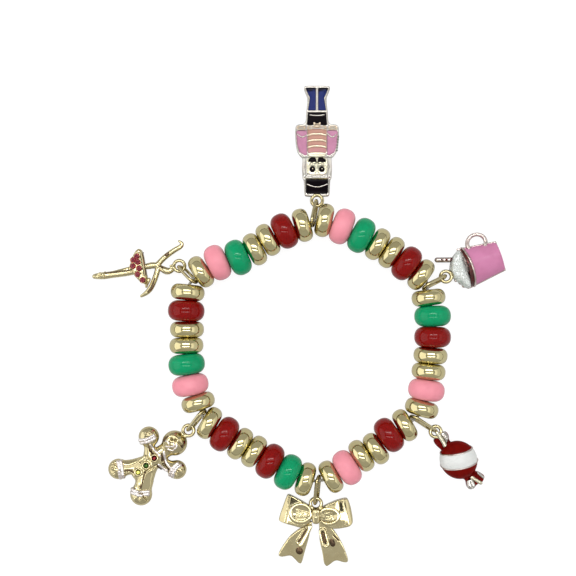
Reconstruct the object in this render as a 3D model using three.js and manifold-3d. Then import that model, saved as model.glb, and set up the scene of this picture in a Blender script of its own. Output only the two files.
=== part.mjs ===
// A beaded stretch bracelet with six cast charms, lying flat in a loop.
// Millimetres, +Z up, the floor at z = 0, the origin under the middle of the whole.
import * as THREE from 'three';
import { mergeVertices } from 'three/addons/utils/BufferGeometryUtils.js';
import Module from 'manifold-3d';

const wasm = await Module();
wasm.setup();

// ---- driving dimensions -------------------------------------------------
const BEAD = {
  gold: { radius: 4.6, width: 4.2, rim: 2.1, bore: 1.2 },
  red: { radius: 4.95, width: 5.5, rim: 2.9, bore: 1.15 },
};
BEAD.green = BEAD.red;
BEAD.pink = BEAD.red;
const BEAD_SIDES = 12;
const BEAD_GAP = 0.12;
const BEAD_SPREAD = 0.016;   // more gap for each degree that two beads turn apart

const ELASTIC = { diameter: 0.8, z: 4.8, sides: 7, steps: 82 };

const LINK = { wire: 0.85, bend: 1.6, sides: 5, steps: 16 };
const LOOP = { outer: 1.95, hole: 1.0, bottom: 1.45, top: 2.65 };

const PLATE = 2.4;           // thickness of the flat nutcracker casting
const POCKET = 1.5;          // height of the floor that its enamel lies on
const CLEARANCE = 0.12;      // between an enamel or glitter piece and its setting

// The string is six runs of beads, one between each two charms. A run starts at `from`.
// `ways` are the directions of the steps from bead to bead, and `heads` the directions
// that the beads themselves face, in degrees: they differ, because the bores are loose.
const RUNS = [
  { from: [7.0, 28.4], beads: 'gold pink green gold gold red gold',
    ways: [-19, -25, -28, -31, -36, -38], heads: [-13, -21, -28, -31, -34, -37, -37] },
  { from: [35.2, 7.5], beads: 'gold green red gold gold pink gold',
    ways: [-78, -90, -96, -97, -97, -104], heads: [-83, -88, -91, -94, -96, -99, -106] },
  { from: [28.8, -27.0], beads: 'gold red gold gold pink gold',
    ways: [-149, -133, -154, -141, -150], heads: [-150, -145, -146, -147, -148, -151] },
  { from: [1.9, -41.6], beads: 'gold green red gold gold red gold',
    ways: [157, 149, 149, 151, 148, 144], heads: [162, 153, 149, 147, 147, 147, 150] },
  { from: [-27.1, -20.8], beads: 'gold pink green gold gold red gold',
    ways: [114, 100, 91, 88, 92, 86], heads: [107, 101, 97, 92, 90, 87, 84] },
  { from: [-26.3, 14.5], beads: 'gold pink green gold gold red gold',
    ways: [29, 14, 26, 36, 28, 18], heads: [33, 25, 24, 28, 29, 26, 17] },
];

// Each charm hangs after the run that it is listed against. `at` is the middle of its cast
// loop and `turn` the way that it hangs. Its link leans over by `lean` degrees, and sits
// `slide` to one side of the middle of the gap between the two beads.
const STATIONS = {
  mug: { at: [40.2, 13.2], turn: 19, after: 0, lean: -16, slide: 0.0 },
  candy: { at: [37.4, -29.0], turn: -51, after: 1, lean: -14, slide: -0.15 },
  bow: { at: [4.8, -48.6], turn: -90, after: 2, lean: 16, slide: 0.15 },
  gingerbread: { at: [-29.9, -28.7], turn: -139, after: 3, lean: 16, slide: -0.15 },
  ballerina: { at: [-32.4, 16.1], turn: 187, after: 4, lean: -16, slide: 0.3 },
  nutcracker: { at: [5.1, 33.9], turn: 90, after: 5, lean: -14, slide: 0.1 },
};

const FINISH = {
  gold: [0xd9c48a, 0.22, 1.0],
  pale_gold: [0xe2d9bd, 0.25, 1.0],
  red: [0x8c1610, 0.12, 0.0],
  green: [0x14965f, 0.12, 0.0],
  pink: [0xf79aa6, 0.15, 0.0],
  elastic: [0xe9e6dd, 0.5, 0.0],
  coat_pink: [0xcf86a8, 0.2, 0.0],
  black: [0x141014, 0.15, 0.0],
  glitter: [0xe4e6e2, 0.5, 0.0],
};

// ---- shared makers ------------------------------------------------------
const rad = THREE.MathUtils.degToRad;

function bare(geometry) {
  const plain = geometry.index ? geometry.clone() : mergeVertices(geometry);
  plain.deleteAttribute('normal');
  plain.deleteAttribute('uv');
  return mergeVertices(plain, 1e-4);
}

function solid(geometry) {
  const g = bare(geometry);
  const vertProperties = new Float32Array(g.attributes.position.array);
  const triVerts = new Uint32Array(g.index.array);
  return new wasm.Manifold(new wasm.Mesh({ numProp: 3, vertProperties, triVerts }));
}

function shell(manifold) {
  const mesh = manifold.getMesh();
  const geometry = new THREE.BufferGeometry();
  geometry.setAttribute('position', new THREE.BufferAttribute(mesh.vertProperties, 3));
  geometry.setIndex(new THREE.BufferAttribute(mesh.triVerts, 1));
  return geometry;
}

const joined = (pieces) => pieces.reduce((whole, piece) => whole.add(piece));

function outline(points, holes = []) {
  const shape = new THREE.Shape(points.map(([x, y]) => new THREE.Vector2(x, y)));
  for (const hole of holes) {
    shape.holes.push(new THREE.Path(hole.map(([x, y]) => new THREE.Vector2(x, y))));
  }
  return shape;
}

// An outline that is the same on both sides, from rows of [distance, half width].
function mirrored(rows) {
  return [...rows.map(([x, half]) => [x, -half]), ...[...rows].reverse()];
}

// The same counterclockwise outline moved inwards by `by`, or outwards if it is negative.
function inset(points, by) {
  return points.map((point, i) => {
    const here = new THREE.Vector2(...point);
    const edgeIn = here.clone().sub(new THREE.Vector2(...points.at(i - 1))).normalize();
    const edgeOut = new THREE.Vector2(...points[(i + 1) % points.length]).sub(here).normalize();
    const corner = new THREE.Vector2(-edgeIn.y - edgeOut.y, edgeIn.x + edgeOut.x);
    corner.multiplyScalar(by / (1 + edgeIn.dot(edgeOut)));
    return [here.x + corner.x, here.y + corner.y];
  });
}

function circle(radius, sides, [x, y] = [0, 0], flat = 1) {
  return Array.from({ length: sides }, (_, i) => {
    const a = (2 * Math.PI * i) / sides;
    return [x + radius * Math.cos(a), y + radius * flat * Math.sin(a)];
  });
}

function slab(shape, bottom, top) {
  const geometry = new THREE.ExtrudeGeometry(shape, { depth: top - bottom, bevelEnabled: false });
  return solid(geometry.translate(0, 0, bottom));
}

// A slab with a rounded top edge and a flat back at z = 0.
function pillow(shape, top, round, segments = 2) {
  const geometry = new THREE.ExtrudeGeometry(shape, {
    depth: 2 * (top - round), bevelThickness: round, bevelSize: round, bevelOffset: -round,
    bevelSegments: segments,
  });
  return solid(geometry.translate(0, 0, round - top)).intersect(above(0));
}

function above(z) {
  return solid(new THREE.BoxGeometry(200, 200, 100).translate(0, 0, z + 50));
}

function ball([x, y, z], radius, flat = 1, sides = 10) {
  const geometry = new THREE.SphereGeometry(radius, sides, Math.round(sides * 0.6));
  return solid(geometry.rotateX(Math.PI / 2).scale(1, 1, flat).translate(x, y, z));
}

// A tapering round limb from one point to another.
function limb([x1, y1, z1], [x2, y2, z2], r1, r2, flat = 1, sides = 8) {
  const along = new THREE.Vector3(x2 - x1, y2 - y1, z2 - z1);
  const geometry = new THREE.CylinderGeometry(r2, r1, along.length(), sides);
  geometry.rotateZ(-Math.PI / 2).scale(1, 1, flat);
  geometry.rotateY(-Math.asin(along.z / along.length()));
  geometry.rotateZ(Math.atan2(along.y, along.x));
  return solid(geometry.translate((x1 + x2) / 2, (y1 + y2) / 2, (z1 + z2) / 2));
}

// A limb of changing thickness through rows of [x, y, z, radius].
function chain(rows, sides = 7, flat = 1) {
  const last = rows.length - 1;
  const geometry = new THREE.CylinderGeometry(1, 1, last, sides, last).translate(0, last / 2, 0);
  const position = geometry.attributes.position;
  for (let i = 0; i < position.count; i += 1) {
    const k = Math.round(position.getY(i));
    const [x, y, z, r] = rows[k];
    const [back, ahead] = [rows[Math.max(k - 1, 0)], rows[Math.min(k + 1, last)]];
    const way = Math.atan2(ahead[1] - back[1], ahead[0] - back[0]);
    const [side, down] = [position.getX(i) * r, position.getZ(i) * r * flat];
    position.setXYZ(i, x - side * Math.sin(way), y + side * Math.cos(way), z - down);
  }
  return solid(geometry);
}

// A closed round wire that follows a route of points and outward directions.
function wireRing(route, wire, sides, steps) {
  const geometry = new THREE.TorusGeometry(10, wire / 2, sides, steps);
  const position = geometry.attributes.position;
  const p = new THREE.Vector3();
  for (let i = 0; i < position.count; i += 1) {
    p.fromBufferAttribute(position, i);
    const t = Math.atan2(p.y, p.x) / (2 * Math.PI);
    const { point, outward } = route(Math.round(t * steps) / steps);
    const out = Math.hypot(p.x, p.y) - 10;
    position.setXYZ(i, point.x + outward.x * out, point.y + outward.y * out, point.z + p.z);
  }
  return bare(geometry);
}

function castLoop(neckTo, neckWidth = 1.6, neckBottom = 0) {
  const ring = outline(circle(LOOP.outer, 14), [circle(LOOP.hole, 10)]);
  const neck = outline([
    [LOOP.hole + 0.3, -neckWidth / 2], [neckTo, -neckWidth / 2],
    [neckTo, neckWidth / 2], [LOOP.hole + 0.3, neckWidth / 2],
  ]);
  return slab(ring, LOOP.bottom, LOOP.top).add(slab(neck, neckBottom, LOOP.top));
}

const bracelet = new THREE.Group();

function place(name, geometry, finish, group = bracelet) {
  const [color, roughness, metalness] = FINISH[finish];
  const material = new THREE.MeshStandardMaterial({ color, roughness, metalness });
  const mesh = new THREE.Mesh(geometry, material);
  mesh.name = name;
  group.add(mesh);
  return mesh;
}

// ---- beads and elastic --------------------------------------------------
function beadGeometry({ radius, width, rim, bore }) {
  const half = width / 2;
  const flat = radius - rim;
  const face = [[bore, half * 0.93], [flat, half * 0.97]];
  const edge = [[flat + rim * 0.74, half * 0.68]];
  const profile = [
    ...face.map(([r, x]) => [r, -x]), ...edge.map(([r, x]) => [r, -x]), [radius, 0],
    ...edge, ...face.reverse(), [bore, -half * 0.93],
  ];
  const points = profile.map(([r, x]) => new THREE.Vector2(r, x));
  return bare(new THREE.LatheGeometry(points, BEAD_SIDES).rotateZ(-Math.PI / 2));
}

function strungBeads() {
  return RUNS.flatMap(({ from, ways, heads, beads }, run) => {
    let [x, y] = from;
    return beads.split(' ').map((kind, i, all) => {
      if (i > 0) {
        const apart = (BEAD[all[i - 1]].width + BEAD[kind].width) / 2 + BEAD_GAP
          + BEAD_SPREAD * Math.abs(heads[i] - heads[i - 1]);
        const way = rad(ways[i - 1]);
        const step = apart / Math.cos(way - rad((heads[i - 1] + heads[i]) / 2));
        x += step * Math.cos(way);
        y += step * Math.sin(way);
      }
      return { kind, run, x, y, head: rad(heads[i]), last: i === all.length - 1 };
    });
  });
}

function elasticCurve(beads) {
  const points = beads.flatMap(({ kind, x, y, head }) => [-0.34, 0.34].map((part) => {
    const off = part * BEAD[kind].width;
    return new THREE.Vector3(x + off * Math.cos(head), y + off * Math.sin(head), ELASTIC.z);
  }));
  return new THREE.CatmullRomCurve3(points, true, 'centripetal');
}

function buildString() {
  const beads = strungBeads();
  const shapes = {};
  beads.forEach((bead, i) => {
    const { kind, x, y, head } = bead;
    shapes[kind] ??= beadGeometry(BEAD[kind]);
    const name = `bead_${String(i + 1).padStart(2, '0')}_${kind}`;
    const mesh = place(name, shapes[kind], kind);
    mesh.position.set(x, y, BEAD[kind].radius);
    mesh.rotation.z = head;
  });
  const curve = elasticCurve(beads);
  const route = (t) => {
    const u = (t + 1) % 1;
    const along = curve.getTangentAt(u);
    return { point: curve.getPointAt(u), outward: new THREE.Vector3(along.y, -along.x, 0) };
  };
  const { diameter, sides, steps } = ELASTIC;
  place('elastic_cord', wireRing(route, diameter, sides, steps), 'elastic');
  return { beads, curve };
}

// The point of the elastic halfway between two neighbouring beads, and the way that the
// gap between the two beads opens.
function cornerOf({ beads, curve }, run, slide) {
  const i = beads.findIndex((bead) => bead.run === run && bead.last);
  const a = beads[i];
  const b = beads[(i + 1) % beads.length];
  const across = new THREE.Vector3(b.x - a.x, b.y - a.y, 0).setLength(slide);
  const middle = new THREE.Vector3((a.x + b.x) / 2, (a.y + b.y) / 2, ELASTIC.z).add(across);
  const point = curve.getSpacedPoints(4000).reduce((best, p) =>
    (p.distanceTo(middle) < best.distanceTo(middle) ? p : best));
  const opens = new THREE.Vector3(
    -Math.sin(a.head) - Math.sin(b.head), Math.cos(a.head) + Math.cos(b.head), 0,
  ).normalize();
  return { point, opens };
}

// ---- links --------------------------------------------------------------
// An oval ring: two half turns of radius `bend` joined by straight sides.
function ovalRoute(reach) {
  const steps = LINK.steps / 2 - 1;
  return (t) => {
    const k = Math.round(((t + 1) % 1) * LINK.steps);
    const half = k < LINK.steps / 2 ? 0 : 1;
    const a = -Math.PI / 2 + Math.PI * half + (Math.PI * (k - half * LINK.steps / 2)) / steps;
    const outward = new THREE.Vector3(Math.cos(a), Math.sin(a), 0);
    const centre = new THREE.Vector3(half ? 0 : reach, 0, 0);
    return { point: centre.addScaledVector(outward, LINK.bend), outward };
  };
}

function buildLink(name, string, { at, after, lean, slide }) {
  const { point: elastic, opens } = cornerOf(string, after, slide);
  const loop = new THREE.Vector3(at[0], at[1], (LOOP.bottom + LOOP.top) / 2);
  const inner = LINK.bend - LINK.wire / 2;
  const way = new THREE.Vector3().subVectors(loop, elastic).setZ(0).normalize();
  const near = elastic.clone().addScaledVector(opens, inner - ELASTIC.diameter / 2 - 0.5);
  const far = loop.clone().addScaledVector(way, 0.05 - LINK.bend);
  far.z = LINK.bend + LINK.wire / 2 + 0.12;
  near.z = ELASTIC.z - 0.3;
  const along = new THREE.Vector3().subVectors(far, near);
  const reach = along.length();
  const x = along.normalize();
  const side = new THREE.Vector3(0, 0, 1).cross(x).normalize();
  const y = new THREE.Vector3().crossVectors(x, side).multiplyScalar(-1);
  y.applyAxisAngle(x, rad(lean));
  const z = new THREE.Vector3().crossVectors(x, y);
  const geometry = wireRing(ovalRoute(reach), LINK.wire, LINK.sides, LINK.steps);
  const mesh = place(name, geometry, 'gold');
  mesh.quaternion.setFromRotationMatrix(new THREE.Matrix4().makeBasis(x, y, z));
  mesh.position.copy(near);
}

// ---- charms: each hangs along its own +X from a cast loop at its origin --
const NUT = {
  outline: [
    [1.2, 2.9], [1.7, 3.5], [5.6, 3.65], [5.75, 4.0], [9.0, 4.05], [11.6, 3.75], [12.0, 4.4],
    [13.1, 5.25], [14.9, 5.75], [18.5, 5.95], [20.2, 5.85], [20.75, 5.2], [20.85, 3.15],
    [24.0, 3.0], [27.7, 2.5], [30.4, 3.5], [31.05, 3.35], [31.25, 2.9],
  ],
  hat: [[1.9, 2.7], [2.3, 3.05], [5.65, 3.05]],
  trousers: [[20.95, 2.6], [23.95, 2.0]],
  coat: [
    [11.9, 3.3], [13.2, 4.75], [14.9, 5.25], [18.5, 5.45], [19.35, 5.2], [19.45, 3.0], [20.1, 2.6],
  ],
  boot: [[24.65, 0.38], [24.65, 2.3], [27.7, 1.85], [30.55, 2.95], [30.55, 0.38]],
  mouth: [[11.7, 1.9], [12.9, 1.7]],
  braids: [14.4, 16.0, 17.8],
  braid: { half: 2.4, width: 0.55, sag: 0.35 },
};

function braidOutline(at, grow = 0) {
  const { half, width, sag } = NUT.braid;
  const w = width / 2 + grow;
  const h = half + grow;
  return [
    [at - w, -h], [at + w, -h], [at + sag + w, 0], [at + w, h], [at - w, h], [at + sag - w, 0],
  ];
}

function buildNutcracker(group) {
  const top = PLATE + 1;
  const pockets = [NUT.hat, NUT.trousers, NUT.coat]
    .map((rows) => slab(outline(mirrored(rows)), POCKET, top));
  const boots = [1, -1].map((side) => {
    const ring = NUT.boot.map(([x, y]) => [x, y * side]);
    return slab(outline(side > 0 ? ring : ring.reverse()), PLATE - 0.35, top);
  });
  const raised = NUT.braids.map((at) => slab(outline(braidOutline(at)), 1, PLATE));
  const face = [
    slab(outline(mirrored(NUT.mouth)), 1, PLATE + 0.15),
    ...[1.25, -1.25].map((y) => ball([8.6, y, PLATE], 0.65, 0.5, 8)),
    ...[1.2, -1.2].map((y) => ball([11.1, y, PLATE], 1.0, 0.5, 8)),
    limb([8.0, 0, PLATE], [10.4, 0, PLATE], 0.25, 0.5, 0.8, 6),
  ];
  const blank = slab(outline(mirrored(NUT.outline)), 0, PLATE).add(castLoop(1.55, 2.0));
  const cut = [...pockets, ...boots].reduce((rest, pocket) => rest.subtract(pocket), blank);
  const body = joined([cut, ...raised, ...face]);
  place('nutcracker_casting', shell(body), 'pale_gold', group);

  const inlay = (rows) => slab(
    outline(inset(mirrored(rows), CLEARANCE)), POCKET + CLEARANCE, PLATE - 0.1,
  );
  const slots = [
    ...NUT.braids.map((at) => slab(outline(braidOutline(at, CLEARANCE)), 1, top)),
    slab(outline(inset(mirrored(NUT.mouth), -CLEARANCE)), 1, top),
  ];
  const coat = slots.reduce((rest, cut) => rest.subtract(cut), inlay(NUT.coat));
  place('nutcracker_coat', shell(coat), 'coat_pink', group);
  place('nutcracker_hat', shell(inlay(NUT.hat)), 'black', group);
  place('nutcracker_trousers', shell(inlay(NUT.trousers)), 'black', group);
}

const MUG = {
  mouth: 7.3, base: 16.3, middle: 0.45, mouthRadius: 5.4, baseRadius: 4.15, flat: 0.8,
  rimArc: 21.8, rimWidth: 0.5, cocoa: 0.85, plate: 0.9,
  cream: [
    [6.1, -5.0], [4.6, -5.0], [3.8, -4.3], [3.2, -3.1], [2.1, -1.7], [1.4, -0.1], [1.6, 1.3],
    [2.3, 2.8], [3.4, 4.4], [4.9, 5.4], [6.1, 5.9],
  ],
  cane: { from: [-0.9, 5.1], to: [4.2, 3.4], half: 0.65, top: 2.2 },
  handle: { at: [10.95, 5.9], outer: 3.15, hole: 1.95, squash: 0.92, bottom: 0.4, top: 2.0 },
};

// The space on the loop side of the curved lip, or of a line parallel to it.
function inFrontOfLip(offset) {
  const geometry = new THREE.CylinderGeometry(MUG.rimArc, MUG.rimArc, 40, 72);
  geometry.rotateX(Math.PI / 2);
  return solid(geometry.translate(MUG.mouth - MUG.rimArc + offset, MUG.middle, 0));
}

function mugRelief(grow) {
  const { mouth, base, middle, mouthRadius, baseRadius, flat } = MUG;
  const points = [
    [0, mouth - 2], [mouthRadius + grow, mouth - 2], [mouthRadius + grow, mouth - 0.7],
    [baseRadius + grow + 0.1, base - 0.4], [baseRadius + grow - 0.3, base], [0, base],
  ].map(([r, x]) => new THREE.Vector2(r, x));
  const geometry = new THREE.LatheGeometry(points, 20).rotateZ(-Math.PI / 2);
  geometry.scale(1, 1, flat).scale(1, -1, -1).translate(0, middle, 0);
  return solid(geometry);
}

function buildMug(group) {
  const { rimWidth, cocoa, plate, base, middle, cane, handle } = MUG;
  const cup = mugRelief(0);
  const rim = mugRelief(0.12).intersect(inFrontOfLip(rimWidth)).subtract(inFrontOfLip(0));
  const foot = cup.subtract(slab(outline([
    [0, -9], [base - 0.35, -9], [base - 0.35, 9], [0, 9],
  ]), -9, 9));
  const tray = mugRelief(0.15).intersect(slab(outline([[0, -9], [20, -9], [20, 9], [0, 9]]), 0, plate));
  const drink = mugRelief(-0.45).intersect(inFrontOfLip(0.1)).subtract(inFrontOfLip(-cocoa))
    .intersect(above(0)).translate(0, 0, -0.2);
  const creamPlate = slab(outline(MUG.cream), 0, plate);
  const across = new THREE.Vector2(...cane.to).sub(new THREE.Vector2(...cane.from))
    .rotateAround(new THREE.Vector2(), Math.PI / 2).setLength(cane.half);
  const stick = slab(outline([
    [cane.from[0] - across.x, cane.from[1] - across.y],
    [cane.to[0] - across.x, cane.to[1] - across.y],
    [cane.to[0] + across.x, cane.to[1] + across.y],
    [cane.from[0] + across.x, cane.from[1] + across.y],
  ]), 0, cane.top);
  const grip = slab(outline(
    circle(handle.outer, 20, handle.at, handle.squash),
    [circle(handle.hole, 16, handle.at, handle.squash)],
  ), handle.bottom, handle.top);
  const outside = grip.subtract(mugRelief(0.1));
  const parts = [tray, rim, foot, drink, creamPlate, stick, outside, castLoop(2.6, 1.8)];
  const casting = joined(parts).intersect(above(0));
  place('mug_casting', shell(casting), 'pale_gold', group);

  const enamel = mugRelief(-0.05).subtract(inFrontOfLip(rimWidth + CLEARANCE))
    .intersect(slab(outline([
      [0, -9], [base - 0.35 - CLEARANCE, -9], [base - 0.35 - CLEARANCE, 9], [0, 9],
    ]), plate + CLEARANCE, 9));
  place('mug_enamel', shell(enamel), 'coat_pink', group);

  const grown = slab(outline([
    [cane.from[0] - across.x * 1.3, cane.from[1] - across.y * 1.3],
    [cane.to[0] + 0.15 - across.x * 1.3, cane.to[1] - 0.05 - across.y * 1.3],
    [cane.to[0] + 0.15 + across.x * 1.3, cane.to[1] - 0.05 + across.y * 1.3],
    [cane.from[0] + across.x * 1.3, cane.from[1] + across.y * 1.3],
  ]), -1, cane.top + CLEARANCE);
  const neck = slab(outline([[0, -1.05], [2.75, -1.05], [2.75, 1.05], [0, 1.05]]), -1, 2.8)
    .add(slab(outline(circle(LOOP.outer + CLEARANCE, 14)), -1, 2.8));
  const cream = pillow(outline(MUG.cream), 3.9, 0.8, 1)
    .intersect(inFrontOfLip(-cocoa - 2 * CLEARANCE)).intersect(above(plate + CLEARANCE))
    .subtract(grown).subtract(neck);
  place('mug_cream', shell(cream), 'glitter', group);
}

const CANDY = {
  middle: [9.8, 0, 2.6], radius: 5.0, stretch: 1.07, squash: 0.68,
  band: { turn: -28, tip: 20, from: -3.0, to: 0.9, depth: 0.55 },
  nearTail: [[6.2, -1.7], [4.7, -2.0], [2.7, -2.3], [1.5, -1.9], [1.2, 0], [1.7, 2.3], [3.0, 2.2],
    [4.1, 1.4], [6.2, 1.5]],
  farTail: [[14.2, -1.5], [15.8, -1.9], [17.5, -3.0], [18.4, -2.8], [19.0, -1.4], [18.7, -0.3],
    [19.0, 0.5], [18.3, 2.0], [17.6, 2.7], [16.3, 2.4], [15.2, 1.2], [14.2, 1.5]],
  tailTop: 2.7,
};

function candyBall(shrink) {
  const { middle: [x, y, z], radius, stretch, squash } = CANDY;
  const geometry = new THREE.SphereGeometry(radius - shrink, 16, 9).rotateZ(Math.PI / 2);
  return solid(geometry.scale(stretch, 1, squash).translate(x, y, z)).intersect(above(0));
}

// The slice of space that the glitter band takes up, widened by `grow` on each side.
function bandSlice(grow) {
  const { turn, tip, from, to } = CANDY.band;
  const width = to - from + 2 * grow;
  const geometry = new THREE.BoxGeometry(width, 40, 40).translate((from + to) / 2, 0, 0);
  geometry.rotateY(rad(tip)).rotateZ(rad(turn)).translate(...CANDY.middle);
  return solid(geometry);
}

function buildCandy(group) {
  const { band, nearTail, farTail, tailTop } = CANDY;
  const core = candyBall(band.depth);
  const caps = candyBall(0).subtract(bandSlice(0));
  const tails = [nearTail, farTail].map((ring) =>
    pillow(outline(ring), tailTop, 0.35, 1).subtract(bandSlice(0)));
  const casting = joined([core, caps, ...tails, castLoop(2.6, 1.8)]);
  place('candy_casting', shell(casting), 'red', group);

  const glitter = candyBall(0).intersect(bandSlice(-CLEARANCE))
    .subtract(candyBall(band.depth - 0.16)).intersect(above(0));
  place('candy_band', shell(glitter), 'glitter', group);
}

const BOW = {
  left: [[0.8, -1.4], [-0.5, -3.5], [-2.6, -7.5], [-2.0, -8.2], [4.4, -10.3], [4.9, -10.1],
    [6.1, -5.2], [6.7, -3.8], [5.2, -1.9], [3.9, -1.0]],
  right: [[3.7, 1.0], [5.6, 1.9], [6.8, 4.4], [6.7, 6.5], [6.0, 9.4], [4.8, 9.9], [-1.1, 8.4],
    [-1.5, 7.9], [-0.7, 5.2], [1.2, 1.2]],
  leftTail: [[4.5, -0.8], [6.5, -3.5], [7.5, -5.2], [9.0, -7.1], [11.2, -8.7], [13.5, -10.1],
    [14.4, -10.2], [14.7, -9.3], [14.2, -6.8], [15.3, -5.7], [16.3, -4.8], [16.6, -4.1],
    [15.9, -3.7], [13.2, -3.0], [9.4, -1.9], [7.2, -1.5]],
  rightTail: [[3.9, 0.8], [8.0, 1.0], [10.2, 1.0], [13.5, 1.8], [16.5, 2.2], [17.3, 2.9],
    [17.0, 3.5], [15.5, 5.4], [16.2, 7.6], [16.2, 8.6], [15.4, 8.9], [11.8, 7.6], [8.9, 6.0],
    [6.9, 4.6]],
  hollows: [
    { at: [2.5, -4.0], length: 2.8, wide: 2.1 }, { at: [3.1, 3.9], length: 2.8, wide: 2.2 },
  ],
  loopTop: 3.1, tailTop: 1.7,
  knot: { from: 1.2, to: 5.4, half: 1.2, top: 3.6 },
  creases: [
    [[6.0, -1.6], [11.6, -3.9], 0.75, 0.6], [[6.6, 1.7], [11.2, 2.7], 0.8, 0.7],
  ],
};

function buildBow(group) {
  const { left, right, leftTail, rightTail, hollows, knot, loopTop, tailTop, creases } = BOW;
  const loops = [left, right].map((ring) => pillow(outline(ring), loopTop, 0.45, 1));
  const tails = [leftTail, rightTail].map((ring) => pillow(outline(ring), tailTop, 0.3, 1));
  const folds = creases.map(([a, b, r1, r2]) =>
    limb([...a, tailTop - 0.1], [...b, tailTop - 0.1], r1, r2, 0.8));
  const scoops = hollows.map(({ at: [x, y], length, wide }) => {
    const geometry = new THREE.SphereGeometry(1, 12, 8).rotateX(Math.PI / 2);
    return solid(geometry.scale(wide, length, 1.5).translate(x, y, loopTop + 0.1));
  });
  const ribbon = scoops.reduce((rest, cut) => rest.subtract(cut), joined(loops));
  const tie = pillow(outline([
    [knot.from, -knot.half], [knot.to, -knot.half], [knot.to, knot.half], [knot.from, knot.half],
  ]), knot.top, 0.5);
  const whole = joined([ribbon, ...tails, ...folds, tie, castLoop(1.8, 2.2)]);
  place('bow_charm', shell(whole.intersect(above(0))), 'gold', group);
}

const GINGER = {
  flat: 0.72,
  height: 1.7,               // of the middle of every limb above the floor
  head: { at: [5.2, 0.1], radius: 3.4 },
  neck: { from: [6.5, 0], to: [11.5, -0.3], radius: 2.2 },
  trunk: [[10.6, -0.3, 1.7, 1.2], [11.6, -0.3, 1.7, 2.3], [14.6, -0.1, 1.7, 2.5],
    [17.6, 0, 1.7, 2.2], [19.0, 0, 1.7, 0.7]],
  limbs: [
    { from: [12.6, -1.4], to: [9.3, -5.7], root: 2.0, waist: 1.45, knob: 2.8 },
    { from: [11.8, 0.6], to: [9.4, 6.0], root: 2.0, waist: 1.5, knob: 2.6 },
    { from: [15.8, -1.2], to: [21.3, -4.6], root: 2.3, waist: 1.95, knob: 2.8 },
    { from: [15.2, 0.6], to: [21.2, 4.6], root: 2.4, waist: 2.2, knob: 3.0 },
  ],
  knobProfile: [[-0.72, 0.7], [-0.35, 0.94], [0, 1], [0.45, 0.89], [0.8, 0.6], [1, 0.12]],
  rope: { back: 0.62, half: 0.75, radius: 0.45 },
  stones: [[11.9, -0.4], [14.8, -0.4], [17.8, -0.5]],
  stone: 0.75,
};

// A limb that narrows to a waist and ends in a round knob.
function knobbedLimb({ from, to, root, waist, knob }) {
  const { flat, height, knobProfile } = GINGER;
  const start = new THREE.Vector2(...from);
  const way = new THREE.Vector2(...to).sub(start);
  const length = way.length();
  const at = (distance, radius) => {
    const p = start.clone().addScaledVector(way, distance / length);
    return [p.x, p.y, height, radius];
  };
  const knobRows = knobProfile.map(([part, size]) => at(length + part * knob, size * knob));
  return chain([at(0, root), at(length * 0.45, waist), ...knobRows], 8, flat);
}

// The rope of icing across a limb, where its knob begins.
function icingRope({ from, to, knob }) {
  const { rope, height, flat } = GINGER;
  const end = new THREE.Vector2(...to);
  const back = new THREE.Vector2(...from).sub(end).normalize();
  const middle = end.addScaledVector(back, knob * rope.back);
  const side = new THREE.Vector2(-back.y, back.x).multiplyScalar(knob * rope.half);
  const top = height + knob * flat * 0.62;
  return limb([middle.x - side.x, middle.y - side.y, top],
    [middle.x + side.x, middle.y + side.y, top], rope.radius, rope.radius, 1, 6);
}

function buildGingerbread(group) {
  const { flat, height, head, neck, trunk, limbs, stones, stone } = GINGER;
  const gems = stones.map(([x, y]) => {
    const geometry = new THREE.CylinderGeometry(stone * 0.55, stone, 1.1, 8).rotateX(Math.PI / 2);
    return solid(geometry.translate(x, y, height + 1.7));
  });
  const parts = [
    ball([...head.at, height + 0.1], head.radius, flat, 12),
    limb([...neck.from, height], [...neck.to, height], neck.radius, neck.radius, flat),
    chain(trunk, 8, flat), ...limbs.map(knobbedLimb), ...limbs.map(icingRope), ...gems,
    castLoop(3.2, 2.0, 0.6),
  ];
  place('gingerbread_charm', shell(joined(parts).intersect(above(0))), 'gold', group);
}

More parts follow.
